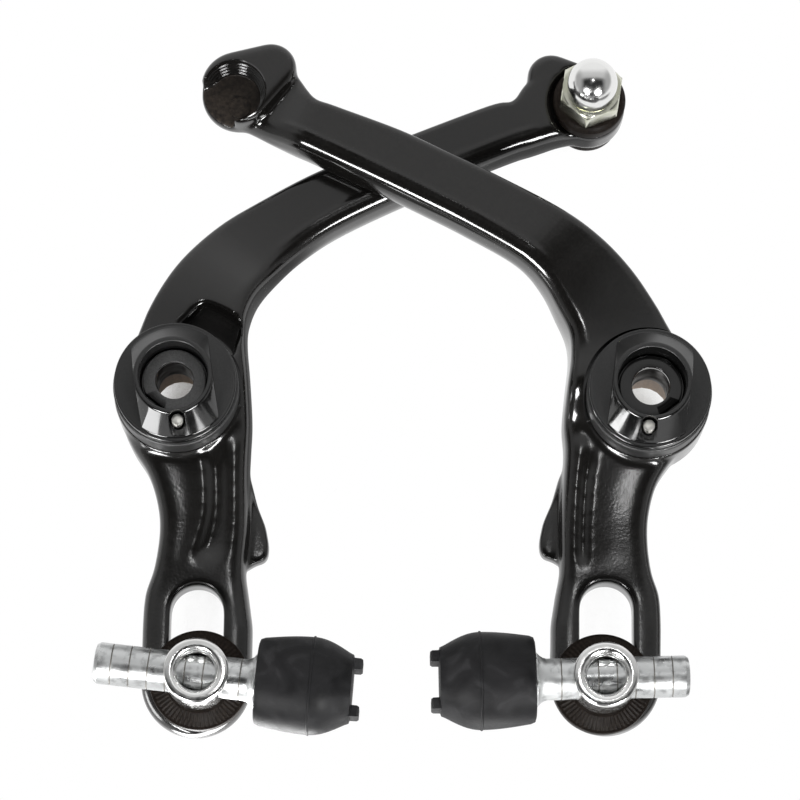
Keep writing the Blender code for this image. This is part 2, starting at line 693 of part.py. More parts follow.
def make_adjuster(side, pivot, mats):
    """The nut whose flats wind the spring, with the rolled bush and washer of its bolt."""
    rim = FLATS / 2 + 0.1 * MM
    profile = (
        (ADJUSTER_BORE, HUB_REAR), (HUB_RADIUS, HUB_REAR), (HUB_RADIUS, FLANGE_REAR),
        (FLANGE_RADIUS, FLANGE_REAR), (FLANGE_RADIUS, FLANGE_FRONT - FLANGE_CHAMFER),
        (FLANGE_RADIUS - FLANGE_CHAMFER, FLANGE_FRONT), (CONE_BASE, FLANGE_FRONT),
        (rim, ADJUSTER_FRONT), (RECESS_RADIUS, ADJUSTER_FRONT),
        (RECESS_RADIUS - RECESS_DRAFT, RECESS_FLOOR), (ADJUSTER_BORE, RECESS_FLOOR),
    )
    adjuster = finish_object(f"adjuster_nut_{side}", turned(profile, ROUND_COUNT, side), pivot,
                             mats["black_plastic"])
    turn = math.radians(ADJUSTER_TURN[side])
    far = FLANGE_RADIUS * 2
    for end in (-1, 1):
        outline = []
        for across, along in ((FLATS / 2, -far), (far, -far), (far, far), (FLATS / 2, far)):
            u = end * across
            outline.append((u * math.cos(turn) - along * math.sin(turn),
                            u * math.sin(turn) + along * math.cos(turn)))
        name = f"flat_{'outer' if end < 0 else 'inner'}_{side}_tool"
        boolean(adjuster, finish_object(name, prism(side, outline, FLANGE_FRONT + 0.02 * MM, 2 * far),
                                        pivot), "DIFFERENCE")
    angle = spring_front_angle(side)
    peg = rod(side, PEG_HOLE, HUB_REAR, 2 * far, 12,
              at=(SPRING_RADIUS * math.cos(angle), SPRING_RADIUS * math.sin(angle)))
    boolean(adjuster, finish_object(f"peg_front_{side}_tool", peg, pivot), "DIFFERENCE")

    seat_rear = RECESS_FLOOR + FIT
    seat_radius = RECESS_RADIUS - RECESS_DRAFT - FIT
    seat = turned(((BOLT_HOLE / 2, seat_rear), (seat_radius, seat_rear),
                   (seat_radius, seat_rear + SEAT_WASHER_THICK),
                   (BOLT_HOLE / 2, seat_rear + SEAT_WASHER_THICK)), ROUND_COUNT, side)
    seat = finish_object(f"seat_washer_{side}", seat, pivot, mats["black_steel"])
    chord = math.radians(-52)
    outline = []
    for ahead, aside in ((SEAT_WASHER_FLAT, -far), (far, -far), (far, far), (SEAT_WASHER_FLAT, far)):
        outline.append((-ahead * math.cos(chord) - aside * math.sin(chord),
                        ahead * math.sin(chord) - aside * math.cos(chord)))
    boolean(seat, finish_object(f"seat_flat_{side}_tool", prism(side, outline, 0.0, 2 * far), pivot),
            "DIFFERENCE")

    finish_object(f"bolt_bush_{side}", prism(side, rolled_outline(), HUB_REAR, RECESS_FLOOR), pivot,
                  mats["steel"])


def rolled_outline():
    """The open ring of a bush rolled from sheet, its seam on the outer side."""
    seam = ROLLED_SEAM / ROLLED_OUTER
    outline = []
    for radius, steps in ((ROLLED_OUTER, range(25)), (BOLT_HOLE / 2, range(24, -1, -1))):
        for step in steps:
            angle = math.radians(184) + seam / 2 + (2 * math.pi - seam) * step / 24
            outline.append((radius * math.cos(angle), radius * math.sin(angle)))
    return outline


def make_pivot(side, pivot, mats):
    """What turns and what stands still about one stud."""
    sleeve = ((STUD_BORE / 2, 0.0), (SLEEVE_RADIUS, 0.0), (SLEEVE_RADIUS, SLEEVE_LENGTH),
              (STUD_BORE / 2, SLEEVE_LENGTH))
    finish_object(f"pivot_sleeve_{side}", turned(sleeve, HIDDEN_COUNT, side), pivot, mats["bronze"])
    washer = ((BUSH_INNER, 0.0), (PIVOT_WASHER_RADIUS, 0.0),
              (PIVOT_WASHER_RADIUS, PIVOT_WASHER_THICK), (BUSH_INNER, PIVOT_WASHER_THICK))
    finish_object(f"pivot_washer_{side}", turned(washer, HIDDEN_COUNT, side), pivot, mats["steel"])
    bush = ((BUSH_INNER, BOSS_REAR), (BUSH_OUTER, BOSS_REAR), (BUSH_OUTER, CUP_FLOOR),
            (BUSH_INNER, CUP_FLOOR))
    finish_object(f"bearing_bush_{side}", turned(bush, HIDDEN_COUNT, side), pivot, mats["bronze"])
    cover = ((CUP_RADIUS, COVER_REAR), (COVER_RADIUS, COVER_REAR),
             (COVER_RADIUS, COVER_FRONT - COVER_CHAMFER),
             (COVER_RADIUS - COVER_CHAMFER, COVER_FRONT), (CUP_RADIUS, COVER_FRONT))
    finish_object(f"spring_cover_{side}", turned(cover, ROUND_COUNT, side), pivot, mats["black_plastic"])
    finish_object(f"return_spring_{side}", sweep(spring_path(side), WIRE / 2, WIRE_COUNT), pivot,
                  mats["steel"])


def serrated_washer(side, at):
    """A dished washer with radial teeth round its front."""
    bore = M6_RADIUS + M6_CLEARANCE
    rim = SERRATED_RADIUS
    chamfer = 0.4 * MM
    inner_band = rim - chamfer - SERRATED_BAND
    slope = SERRATED_FRONT - SERRATED_DISH
    rows = (
        (bore, SERRATED_REAR, False), (rim, SERRATED_REAR, False), (rim, slope - chamfer, False),
        (rim - chamfer, slope, False), (rim - chamfer - 0.15 * MM, slope, True),
        (inner_band, SERRATED_FRONT, True), (bore, SERRATED_FRONT, False),
    )
    bm = bmesh.new()
    rings = []
    for radius, d, toothed in rows:
        ring = []
        for index, (u, z) in enumerate(circle(radius, TOOTH_COUNT * (2 if toothed else 1))):
            drop = TOOTH_HEIGHT if toothed and index % 2 else 0.0
            ring.append(bm.verts.new(local(side, at[0] + u, d - drop, at[1] + z)))
        rings.append(ring)
    bridge(bm, rings, closed=True)
    return bm


def make_clamp(side, axis, mats):
    """The eye bolt that holds the pad's post, with its washers and nut."""
    centre = eye_at(side)
    at = (centre.x, centre.z)
    edge = EYE_EDGE
    lip = 0.5 * MM
    head = [(0.0, REAR_NUT_FRONT - REAR_NUT_HEIGHT - 0.6 * MM),
            (M6_RADIUS, REAR_NUT_FRONT - REAR_NUT_HEIGHT - 0.6 * MM), (M6_RADIUS, EYE_BASE),
            (EYE_RADIUS - 1.0 * MM, EYE_BASE), (EYE_RADIUS, EYE_BASE + 1.0 * MM)]
    for step in range(4):
        angle = math.pi / 2 * step / 3
        head.append((EYE_RADIUS - edge + edge * math.cos(angle),
                     EYE_FRONT - edge + edge * math.sin(angle)))
    head += [(EYE_HOLE + lip, EYE_FRONT), (EYE_HOLE, EYE_FRONT - lip), (EYE_HOLE, EYE_CENTRE),
             (0.0, EYE_CENTRE)]
    eye = finish_object(f"eye_bolt_{side}", turned(head, 24, side, at), axis, mats["chrome"])
    reach = 2 * EYE_RADIUS
    tunnel = post_piece(side, ((0.0, -reach), (EYE_BORE, -reach), (EYE_BORE, reach), (0.0, reach)), 20)
    boolean(eye, finish_object(f"eye_bore_{side}_tool", tunnel, axis), "DIFFERENCE")

    finish_object(f"serrated_washer_{side}", serrated_washer(side, at), axis, mats["black_steel"])
    rear = REAR_WASHER_FRONT - REAR_WASHER_THICK
    bore = M6_RADIUS + M6_CLEARANCE
    washer = ((bore, rear), (REAR_WASHER_RADIUS, rear), (REAR_WASHER_RADIUS, REAR_WASHER_FRONT),
              (bore, REAR_WASHER_FRONT))
    finish_object(f"rear_washer_{side}", turned(washer, HIDDEN_COUNT, side, at), axis, mats["steel"])
    nut = hex_nut(side, at, REAR_NUT_FRONT - REAR_NUT_HEIGHT, REAR_NUT_FRONT, bore)
    finish_object(f"rear_nut_{side}", nut, axis, mats["zinc"])


def hex_nut(side, at, d_rear, d_front, bore):
    """A hexagon ring whose bore has the same number of corners times four."""
    bm = bmesh.new()
    corner = M6_FLATS / 2 / math.cos(math.pi / 6)
    rings = []
    count = 24
    for radius, d in ((bore, d_rear), (corner, d_rear), (corner, d_front), (bore, d_front)):
        ring = []
        for index, (u, z) in enumerate(circle(1.0, count)):
            reach = radius
            if radius == corner:
                turned_by = (index % 4) * 2 * math.pi / count - math.pi / 6
                reach = M6_FLATS / 2 / math.cos(turned_by)
            ring.append(bm.verts.new(local(side, at[0] + u * reach, d, at[1] + z * reach)))
        rings.append(ring)
    bridge(bm, rings, closed=True)
    return bm


def post_frame(side, reach):
    """Centre and upward direction at a distance inwards from the eye's axis. The post is bent a
    little where the pad begins, so that the pad meets the rim."""
    tilt = math.radians(POST_TILT[side])
    centre = eye_at(side)
    bend = PAD_START[side] - FIT
    centre += Vector((math.cos(tilt), 0.0, -math.sin(tilt))) * min(reach, bend)
    if reach >= bend:
        tilt = math.radians(PAD_TILT[side])
        centre += Vector((math.cos(tilt), 0.0, -math.sin(tilt))) * (reach - bend)
    return centre, Vector((math.sin(tilt), 0.0, math.cos(tilt)))


def post_piece(side, profile, count, start=0.0):
    """A piece turned about the pad's post: (radius, distance inwards from the eye's axis)."""
    forward = Vector((0.0, 1.0, 0.0))
    bm = bmesh.new()
    rings = []
    for radius, reach in profile:
        centre, up = post_frame(side, reach)
        ring = []
        for x, y in circle(radius, count, start) if radius > 1e-9 else ((0.0, 0.0),):
            point = centre + forward * x + up * y
            ring.append(bm.verts.new(local(side, point.x, point.y, point.z)))
        rings.append(ring)
    bridge(bm, rings, closed=len(rings[0]) > 1)
    return bm


def pad_profile(side):
    """The rubber's outline from its post end to its face, then the pocket of the backing plate."""
    start = PAD_START[side]
    face = start + PAD_LENGTH
    waist = start + PAD_LENGTH * PAD_WAIST_AT
    outline = [(PAD_END_RADIUS - PAD_CORNER, start), (PAD_END_RADIUS, start + PAD_CORNER)]
    for share in (0.35, 0.7):
        bulge = math.sin(share * math.pi / 2)
        outline.append((PAD_END_RADIUS + (PAD_WAIST_RADIUS - PAD_END_RADIUS) * bulge,
                        start + PAD_CORNER + (waist - start - PAD_CORNER) * share))
    outline.append((PAD_WAIST_RADIUS, waist))
    for share in (0.35, 0.65, 0.87):
        fall = 1 - math.cos(share * math.pi / 2)
        outline.append((PAD_WAIST_RADIUS - (PAD_WAIST_RADIUS - PAD_FACE_RADIUS) * fall,
                        waist + (face - waist - PAD_CORNER) * share))
    outline += [(PAD_FACE_RADIUS, face - PAD_CORNER), (PAD_FACE_RADIUS - PAD_CORNER, face)]
    neck = POST_DIAMETER / 2 + POST_FLARE + FIT
    plate_near = start + PLATE_DEPTH - FIT
    plate_far = plate_near + PLATE_THICK + 2 * FIT
    pocket = [(0.0, plate_far), (PLATE_RADIUS + FIT, plate_far), (PLATE_RADIUS + FIT, plate_near),
              (neck, plate_near), (neck, start)]
    return [(0.0, face)] + outline[::-1] + pocket[::-1]


def make_pad(side, axis, mats):
    start = PAD_START[side]
    radius = POST_DIAMETER / 2
    chamfer = 0.5 * MM
    flare = radius + POST_FLARE
    plate_near = start + PLATE_DEPTH
    spigot = radius - 0.9 * MM
    post = (
        (0.0, -POST_FREE[side]), (radius - chamfer, -POST_FREE[side]),
        (radius, chamfer - POST_FREE[side]), (radius, start - POST_FLARE_LENGTH - FIT),
        (flare, start - FIT), (flare, plate_near - FIT), (spigot, plate_near - FIT),
        (spigot, plate_near + PLATE_THICK), (0.0, plate_near + PLATE_THICK),
    )
    finish_object(f"pad_post_{side}", post_piece(side, post, HIDDEN_COUNT), axis, mats["steel"])
    plate = ((spigot + FIT, plate_near), (PLATE_RADIUS, plate_near),
             (PLATE_RADIUS, plate_near + PLATE_THICK), (spigot + FIT, plate_near + PLATE_THICK))
    finish_object(f"pad_plate_{side}", post_piece(side, plate, 20), axis, mats["steel"])
    rubber = finish_object(f"pad_rubber_{side}", post_piece(side, pad_profile(side), 24), axis,
                           mats["rubber"])
    for index, lift in enumerate((-NUB_PITCH / 2, NUB_PITCH / 2)):
        nub = pad_nub(side, lift)
        boolean(rubber, finish_object(f"nub_{index}_{side}_tool", nub, axis), "UNION")


def pad_nub(side, lift):
    """One of the two short bars that stand out of the pad's face."""
    forward = Vector((0.0, 1.0, 0.0))
    face = PAD_START[side] + PAD_LENGTH
    half_run = math.sqrt((PAD_FACE_RADIUS - PAD_CORNER) ** 2 - (NUB_PITCH / 2) ** 2)
    bm = bmesh.new()
    rings = []
    for reach in (face - 1.0 * MM, face + NUB_LENGTH):
        centre, up = post_frame(side, reach)
        ring = []
        for x, y in ((-1, -1), (1, -1), (1, 1), (-1, 1)):
            point = centre + forward * x * half_run + up * (lift + y * NUB_SIZE / 2)
            ring.append(bm.verts.new(local(side, point.x, point.y, point.z)))
        rings.append(ring)
    bridge(bm, rings)
    bm.faces.new(rings[0])
    bm.faces.new(rings[1])
    return bm


def make_anchor(pivot, mats):
    """The bolt, pinch washer and acorn nut that clamp the cable on the left arm."""
    side = "left"
    head_front = BEAM_REAR - FIT
    head_rear = head_front - ANCHOR_HEAD
    flange_rear = head_front - ANCHOR_FLANGE
    tip = ACORN_REAR + ACORN_HEX + THREAD_PAST_HEX
    shank = ((0.0, flange_rear), (ANCHOR_FLANGE_RADIUS, flange_rear),
             (ANCHOR_FLANGE_RADIUS, head_front), (M6_RADIUS, head_front), (M6_RADIUS, tip),
             (0.0, tip))
    bolt = finish_object("anchor_bolt", turned(shank, SMALL_COUNT, side, ANCHOR_AT), pivot,
                         mats["zinc"])
    outline = [(ANCHOR_AT[0] + u, ANCHOR_AT[1] + z) for u, z in hexagon(M6_FLATS)]
    boolean(bolt, finish_object("anchor_head_tool", prism(side, outline, head_rear,
                                                          flange_rear + 0.2 * MM), pivot), "UNION")
    bore = M6_RADIUS + M6_CLEARANCE
    pinch = ((bore, PINCH_REAR), (PINCH_RADIUS, PINCH_REAR),
             (PINCH_RADIUS, PINCH_REAR + PINCH_THICK - PINCH_CHAMFER),
             (PINCH_RADIUS - PINCH_CHAMFER, PINCH_REAR + PINCH_THICK),
             (bore, PINCH_REAR + PINCH_THICK))
    finish_object("pinch_washer", turned(pinch, ROUND_COUNT, side, ANCHOR_AT), pivot, mats["black_steel"])
    hex_front = ACORN_REAR + ACORN_HEX
    body = [(0.0, ACORN_REAR + 1.0 * MM), (DOME_RADIUS - 0.6 * MM, ACORN_REAR + 1.0 * MM),
            (DOME_RADIUS, hex_front + 0.6 * MM)]
    crown = ACORN_REAR + ACORN_HEIGHT
    spring_line = crown - DOME_RADIUS
    for step in range(5):
        angle = math.pi / 2 * step / 5
        body.append((DOME_RADIUS * math.cos(angle), spring_line + DOME_RADIUS * math.sin(angle)))
    body.append((0.0, crown))
    nut = finish_object("acorn_nut", turned(body, HIDDEN_COUNT, side, ANCHOR_AT), pivot, mats["chrome"])
    outline = [(ANCHOR_AT[0] + u, ANCHOR_AT[1] + z) for u, z in hexagon(M6_FLATS, ACORN_TURN)]
    boolean(nut, finish_object("acorn_hex_tool", prism(side, outline, ACORN_REAR, hex_front), pivot),
            "UNION")
    thread = rod(side, bore, ACORN_REAR - 1.0 * MM, tip + 1.0 * MM, 16, at=ANCHOR_AT)
    boolean(nut, finish_object("acorn_thread_tool", thread, pivot), "DIFFERENCE")


def build():
    clear_scene()
    mats = make_materials()
    for side in SIDES:
        pivot = empty(f"pivot_axis_{side}", pivot_of(side))
        make_pivot(side, pivot, mats)
        make_arm(side, pivot, mats)
        make_adjuster(side, pivot, mats)
        eye_axis = empty(f"eye_axis_{side}", local(side, *eye_at(side)), pivot)
        make_clamp(side, eye_axis, mats)
        make_pad(side, eye_axis, mats)
        if side == "left":
            make_anchor(pivot, mats)


build()
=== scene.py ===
"""Looks of the U-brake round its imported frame.

Lengths are in metres. As in the CAD, each side has a frame of its own: u runs from the pivot
inwards, z up, and d forwards from the frame's seat plane, towards the viewer.
"""
import math

import bmesh
import bpy
from mathutils import Matrix, Vector


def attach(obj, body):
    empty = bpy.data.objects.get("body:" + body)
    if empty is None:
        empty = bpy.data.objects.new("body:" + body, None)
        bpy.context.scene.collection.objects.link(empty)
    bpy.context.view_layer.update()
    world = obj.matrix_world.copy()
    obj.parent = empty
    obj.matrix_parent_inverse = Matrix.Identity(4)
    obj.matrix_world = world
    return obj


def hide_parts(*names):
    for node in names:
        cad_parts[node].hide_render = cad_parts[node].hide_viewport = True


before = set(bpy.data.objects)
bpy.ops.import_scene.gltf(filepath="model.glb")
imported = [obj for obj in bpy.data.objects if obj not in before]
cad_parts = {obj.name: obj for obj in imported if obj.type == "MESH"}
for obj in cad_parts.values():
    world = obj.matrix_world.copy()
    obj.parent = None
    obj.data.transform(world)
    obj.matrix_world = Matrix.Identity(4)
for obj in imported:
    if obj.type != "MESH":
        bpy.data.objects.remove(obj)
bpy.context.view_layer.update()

MM = 0.001
SIDES = ("left", "right")
SIGN = {"left": 1.0, "right": -1.0}

# Sizes shared with the CAD
FIT = 0.3 * MM
PIVOT_SPACING = 80.0 * MM
SLEEVE_RADIUS = 5.8 * MM
SLEEVE_LENGTH = 11.3 * MM
ARM_BORE = 7.0 * MM
BOSS_RADIUS = 10.9 * MM
BOSS_REAR = 1.3 * MM
BOSS_FRONT = 12.0 * MM
CUP_RADIUS = 9.0 * MM
CUP_FLOOR = 7.0 * MM
COVER_RADIUS = 10.6 * MM
COVER_FRONT = 17.1 * MM
WIRE = 2.0 * MM
SPRING_RADIUS = 7.3 * MM
SPRING_BEND = 1.3 * MM
COIL_REAR = 8.3 * MM
TAIL_ANGLE = 60.0
TAIL_LENGTH = 3.2 * MM
FLATS = 13.0 * MM
FLANGE_RADIUS = 10.3 * MM
FLANGE_REAR = 17.4 * MM
FLANGE_FRONT = 19.2 * MM
CONE_BASE = 9.6 * MM
CONE_HEIGHT = 5.2 * MM
ADJUSTER_FRONT = FLANGE_FRONT + CONE_HEIGHT
HUB_REAR = SLEEVE_LENGTH + FIT
HUB_RADIUS = 5.3 * MM
RECESS_RADIUS = 5.8 * MM
RECESS_DRAFT = 0.2 * MM
RECESS_FLOOR = ADJUSTER_FRONT - 5.1 * MM
BOLT_HOLE = 6.4 * MM
ROLLED_WALL = 0.6 * MM
ROLLED_SEAM = 0.35 * MM
SEAT_THICK = 0.9 * MM
SEAT_FLAT = 4.7 * MM
PEG_HOLE = 1.36 * MM
PEG_OFFSET = 2.5
ADJUSTER_TURN = {"left": 9.0, "right": 6.5}

BEAM_REAR = 1.5 * MM
BEAM_THICK = 8.5 * MM
ARM_GAP = 0.8 * MM
LEG_THICK = 6.0 * MM
LEG_REAR = 3.0 * MM
LEG_END_RADIUS = 9.25 * MM
SLOT_WIDTH = 9.0 * MM
SLOT_TOP = {"left": -32.8 * MM, "right": -31.4 * MM}
SLOT_CENTRE = {"left": 4.05 * MM, "right": 6.8 * MM}
LEG_END_Z = {"left": -49.0 * MM, "right": -47.8 * MM}
SLOT_DROP = 1.0 * MM
EAR_LIFT = {"left": 0.0, "right": 1.3 * MM}
EAR_REACH = {"left": 3.7 * MM, "right": 3.8 * MM}
EAR_THICK = 4.0 * MM
EAR_INDEX = -5

HEAD_RADIUS = {"left": 6.4 * MM, "right": 6.5 * MM}
HEAD_CENTRE = {"left": (70.3 * MM, 53.4 * MM), "right": (70.6 * MM, 52.6 * MM)}
LOBE_CENTRE = {"left": (63.7 * MM, 58.2 * MM), "right": (65.0 * MM, 56.2 * MM)}
LOBE_RADIUS = {"left": 4.2 * MM, "right": 4.4 * MM}
POCKET_CENTRE = (71.2 * MM, 51.7 * MM)
POCKET_RADIUS = 5.3 * MM
POCKET_DEPTH = 5.0 * MM
POCKET_STEP = 1.0 * MM
ANCHOR_AT = (70.3 * MM, 53.4 * MM)
SPOT_DEPTH = 1.8 * MM
M6_RADIUS = 2.95 * MM
M6_BORE = 3.3 * MM
M6_FLATS = 10.0 * MM
ACORN_HEX = 5.0 * MM
ACORN_HEIGHT = 12.0 * MM
DOME_RADIUS = 4.3 * MM
PINCH_RADIUS = 6.3 * MM
PINCH_THICK = 3.4 * MM
ANCHOR_HEAD = 3.6 * MM
ANCHOR_FLANGE = 1.1 * MM
ANCHOR_FLANGE_RADIUS = 5.7 * MM

EYE_OFFSET = 0.9 * MM
EYE_Z = {"left": -49.3 * MM, "right": -49.1 * MM}
EYE_RADIUS = 5.4 * MM
EYE_HOLE = 3.15 * MM
EYE_EDGE = 1.7 * MM
SERRATED_RADIUS = 8.4 * MM
SERRATED_REAR = LEG_REAR + LEG_THICK + FIT
SERRATED_FRONT = SERRATED_REAR + 3.3 * MM
SERRATED_BAND = 2.3 * MM
SERRATED_DISH = 0.9 * MM
POST_DIAMETER = 6.9 * MM
EYE_BASE = SERRATED_FRONT + FIT
EYE_BORE = POST_DIAMETER / 2 + FIT
EYE_CENTRE = EYE_BASE + 2.0 * MM + EYE_BORE - 0.6 * MM
EYE_FRONT = EYE_CENTRE + EYE_BORE + 1.0 * MM
REAR_WASHER_FRONT = LEG_REAR - FIT
REAR_WASHER_THICK = 1.5 * MM
REAR_WASHER_RADIUS = 7.0 * MM
REAR_NUT_FRONT = REAR_WASHER_FRONT - REAR_WASHER_THICK - FIT
REAR_NUT_HEIGHT = 5.0 * MM

POST_TILT = {"left": 6.0, "right": 2.0}
PAD_TILT = {"left": 4.2, "right": 2.0}
POST_FREE = {"left": 17.0 * MM, "right": 13.9 * MM}
PAD_START = {"left": 9.9 * MM, "right": 11.5 * MM}
PAD_LENGTH = 15.9 * MM
PAD_END_RADIUS = 7.3 * MM
PAD_WAIST_RADIUS = 8.25 * MM
PAD_WAIST_AT = 0.57
PAD_FACE_RADIUS = 6.0 * MM
NUB_PITCH = 7.8 * MM
NUB_SIZE = 1.9 * MM
NUB_LENGTH = 1.4 * MM

BEAM_FRONT = BEAM_REAR + BEAM_THICK
RIGHT_REAR = BEAM_FRONT + ARM_GAP
RIGHT_FRONT = RIGHT_REAR + BEAM_THICK
LEG_FRONT = LEG_REAR + LEG_THICK
SPOT_FLOOR = BEAM_FRONT - SPOT_DEPTH
PINCH_REAR = SPOT_FLOOR + FIT
ACORN_REAR = PINCH_REAR + PINCH_THICK + FIT

# Stations of the two castings, as in the CAD: outer and inner edge (u, z) in millimetres
LEFT_STATIONS = (
    ((76.6, 54.1), (76.7, 52.7)),
    ((74.8, 57.6), (75.4, 50.2)),
    ((70.0, 60.0), (72.2, 48.6)),
    ((64.2, 59.4), (68.0, 47.6)),
    ((59.3, 56.9), (64.6, 46.8)),
    ((57.0, 53.7), (60.6, 45.4)),
    ((52.8, 52.7), (56.1, 43.8)),
    ((37.6, 46.5), (41.4, 37.4)),
    ((23.3, 40.4), (27.9, 30.7)),
    ((12.8, 34.5), (20.8, 25.9)),
    ((6.3, 30.0), (16.2, 21.5)),
    ((0.6, 24.0), (13.0, 17.4)),
    ((-3.3, 18.1), (11.5, 13.3)),
    ((-6.4, 11.4), (11.3, 9.5)),
    ((-8.6, 4.0), (11.9, 3.2)),
    ((-9.6, -4.0), (12.4, -4.0)),
    ((-7.7, -9.2), (12.3, -9.2)),
    ((-4.9, -13.6), (12.2, -13.6)),
    ((-3.2, -18.6), (12.3, -18.6)),
    ((-2.7, -23.4), (12.3, -23.4)),
    ((-3.5, -29.6), (11.9, -29.6)),
    ((-4.9, -34.2), (12.5, -34.2)),
    ((-5.2, -39.6), (13.3, -39.6)),
)
RIGHT_STATIONS = (
    ((77.0, 53.1), (76.9, 51.9)),
    ((75.4, 56.3), (75.3, 49.4)),
    ((71.3, 58.2), (71.8, 47.3)),
    ((65.4, 58.6), (69.0, 46.1)),
    ((60.6, 55.4), (65.2, 44.2)),
    ((57.6, 50.9), (61.1, 42.2)),
    ((53.8, 49.3), (57.2, 40.5)),
    ((42.8, 45.2), (46.8, 35.6)),
    ((34.6, 41.4), (38.8, 31.7)),
    ((26.6, 37.6), (31.5, 28.0)),
    ((15.2, 31.6), (22.5, 22.8)),
    ((8.3, 26.9), (18.1, 18.9)),
    ((2.9, 21.4), (15.4, 14.5)),
    ((-1.4, 15.1), (13.5, 10.7)),
    ((-5.2, 8.4), (13.1, 6.8)),
    ((-8.4, 1.6), (13.7, 1.2)),
    ((-8.4, -4.4), (14.1, -4.4)),
    ((-5.4, -9.0), (13.8, -9.0)),
    ((-2.0, -14.0), (14.1, -14.0)),
    ((-0.5, -19.4), (14.4, -19.4)),
    ((-0.3, -24.2), (14.5, -24.2)),
    ((-1.0, -29.4), (14.5, -29.4)),
    ((-2.3, -33.4), (15.2, -33.4)),
    ((-2.6, -38.6), (16.0, -38.6)),
)
LEFT_RISE = (1, 1, 1, 1, 1, 1, 1, 1, 1, 1, 0.8, 0.3, 0.05, 0, 0)
RIGHT_RISE = (1, 1, 1, 1, 1, 1, 1, 1, 1, 1, 1, 0.62, 0.3, 0.1, 0, 0)
FOOT_SHARE = (0.05, 0.18, 0.34, 0.5, 0.68, 0.88, 1.0, 1.0)
LEFT_SHOULDER = 14.0 * MM
RIGHT_SHOULDER = 16.4 * MM

# Values that the render refines: the CAD has coarser ones, or another turn, at the same places
FRONT_EDGE = 2.5 * MM
REAR_EDGE = 1.2 * MM
POCKET_MOUTH_ANGLE = -34.0
SPOT_RADIUS = 6.9 * MM
ACORN_TURN = 82.0
TOOTH_COUNT = 64
TOOTH_HEIGHT = 0.2 * MM
RIGHT_DIP = (0.0, 0.0, 0.8, 2.8, 2.1, 0.2)
HOLLOW_DEPTH = 1.15 * MM

# Forms that the render adds
VOXEL = 0.27 * MM         # of the castings' remesh
LIP = 0.16 * MM           # faint ridge where the beam's face meets its round edge
LIP_WIDTH = 1.0 * MM
WELD = 1e-7               # points nearer than this become one
HOLLOW_SHARE = {"left": 0.85, "right": 0.7}
CHANNEL = 0.15            # depth left of the leg's crease, as a share of the hollow
TAIL_SPREAD = 16.0        # of the spring's slot, each way, in degrees
PAD_FLASH = 0.16 * MM     # the moulding's seam round the pad
OUTER_EDGE = 1.1 * MM     # of the beams' upper edge
LOBE_EDGE = 1.5 * MM
# Crease down the leg, as (z in mm, share of the leg's width)
RIDGE = {"left": ((-8.0, 0.62), (-13.7, 0.59), (-19.6, 0.535), (-23.9, 0.43), (-28.8, 0.286)),
         "right": ((-8.0, 0.8), (-14.0, 0.79), (-20.0, 0.78), (-25.0, 0.78), (-30.0, 0.8))}
CREASE = 0.16 * MM
SIDE_BULGE = 0.22 * MM
HOLLOW_START = (-7.0, -13.0)
HOLLOW_END = (-26.2, -29.6)
SCOOP_FLOOR = BOSS_FRONT - 2.2 * MM
SCOOP_SLOPE = 0.38
SCOOP_REACH = 15.4 * MM
RING_PITCH = 3.05 * MM    # of the rings scribed on the posts
RING_DEPTH = 0.12 * MM
RING_HALF = 0.11 * MM
STEPS = 6                 # rings of the skin between two stations
FINE_COUNT = 96

# The photograph's camera
ELEVATION = -13.0
DISTANCE = 0.55
LOOK_AT = Vector((-2.1 * MM, -19.0 * MM, -2.6 * MM))
ROLL = 0.70
FOCAL = 3272.5 / 800      # focal length as a share of the picture's width
TABLE_Y = 5.6 * MM        # the pale plane on which the brake lies, behind it
CONTACT_BROWN = (0.04, 0.028, 0.016)    # of the contact shadow under the left arm and the right one
CONTACT_GREY = (0.24, 0.23, 0.2)
# Painted shade on the table where the brake's gloss mirrors it: ellipses as (x, z), radii and brightness, in
# mm
SHADES = (
    ((-26.0, 6.0), (20.0, 24.0), 0.2),
    ((17.0, 42.0), (17.0, 7.0), 0.3),
    ((95.0, -40.0), (38.0, 60.0), 0.2),
)


def pivot_of(side):
    return Vector((-SIGN[side] * PIVOT_SPACING / 2, 0.0, 0.0))


def place(side, u, d, z):
    """A point of a side's own frame in the world."""
    return pivot_of(side) + Vector((SIGN[side] * u, -d, z))


def eye_at(side):
    return Vector((SLOT_CENTRE[side] + EYE_OFFSET, EYE_CENTRE, EYE_Z[side]))


# Materials

def feed(tree, socket, value):
    """Link an output to a socket, or set the socket to a plain value."""
    if isinstance(value, bpy.types.NodeSocket):
        tree.links.new(value, socket)
    else:
        socket.default_value = value


def node(tree, kind, result, inputs=(), **settings):
    """A node with its settings and (socket, value) inputs. Gives the output asked for."""
    new = tree.nodes.new("ShaderNode" + kind)
    for name, value in settings.items():
        setattr(new, name, value)
    for socket, value in inputs:
        feed(tree, new.inputs[socket], value)
    return new.outputs[result]


def map_range(tree, value, start, end, low=0.0, high=1.0, kind="LINEAR"):
    inputs = (("Value", value), ("From Min", start), ("From Max", end), ("To Min", low), ("To Max", high))
    return node(tree, "MapRange", "Result", inputs, interpolation_type=kind)


def mix(tree, share, under, over):
    inputs = (("Factor", share), ("A", under), ("B", over))
    return node(tree, "Mix", "Result", inputs, data_type="RGBA")


def grey(level):
    return (level, level, level, 1.0)


def xyz(tree, coordinates):
    """The three parts of one kind of texture coordinates."""
    inputs = (("Vector", node(tree, "TexCoord", coordinates)),)
    return list(node(tree, "SeparateXYZ", "X", inputs).node.outputs)


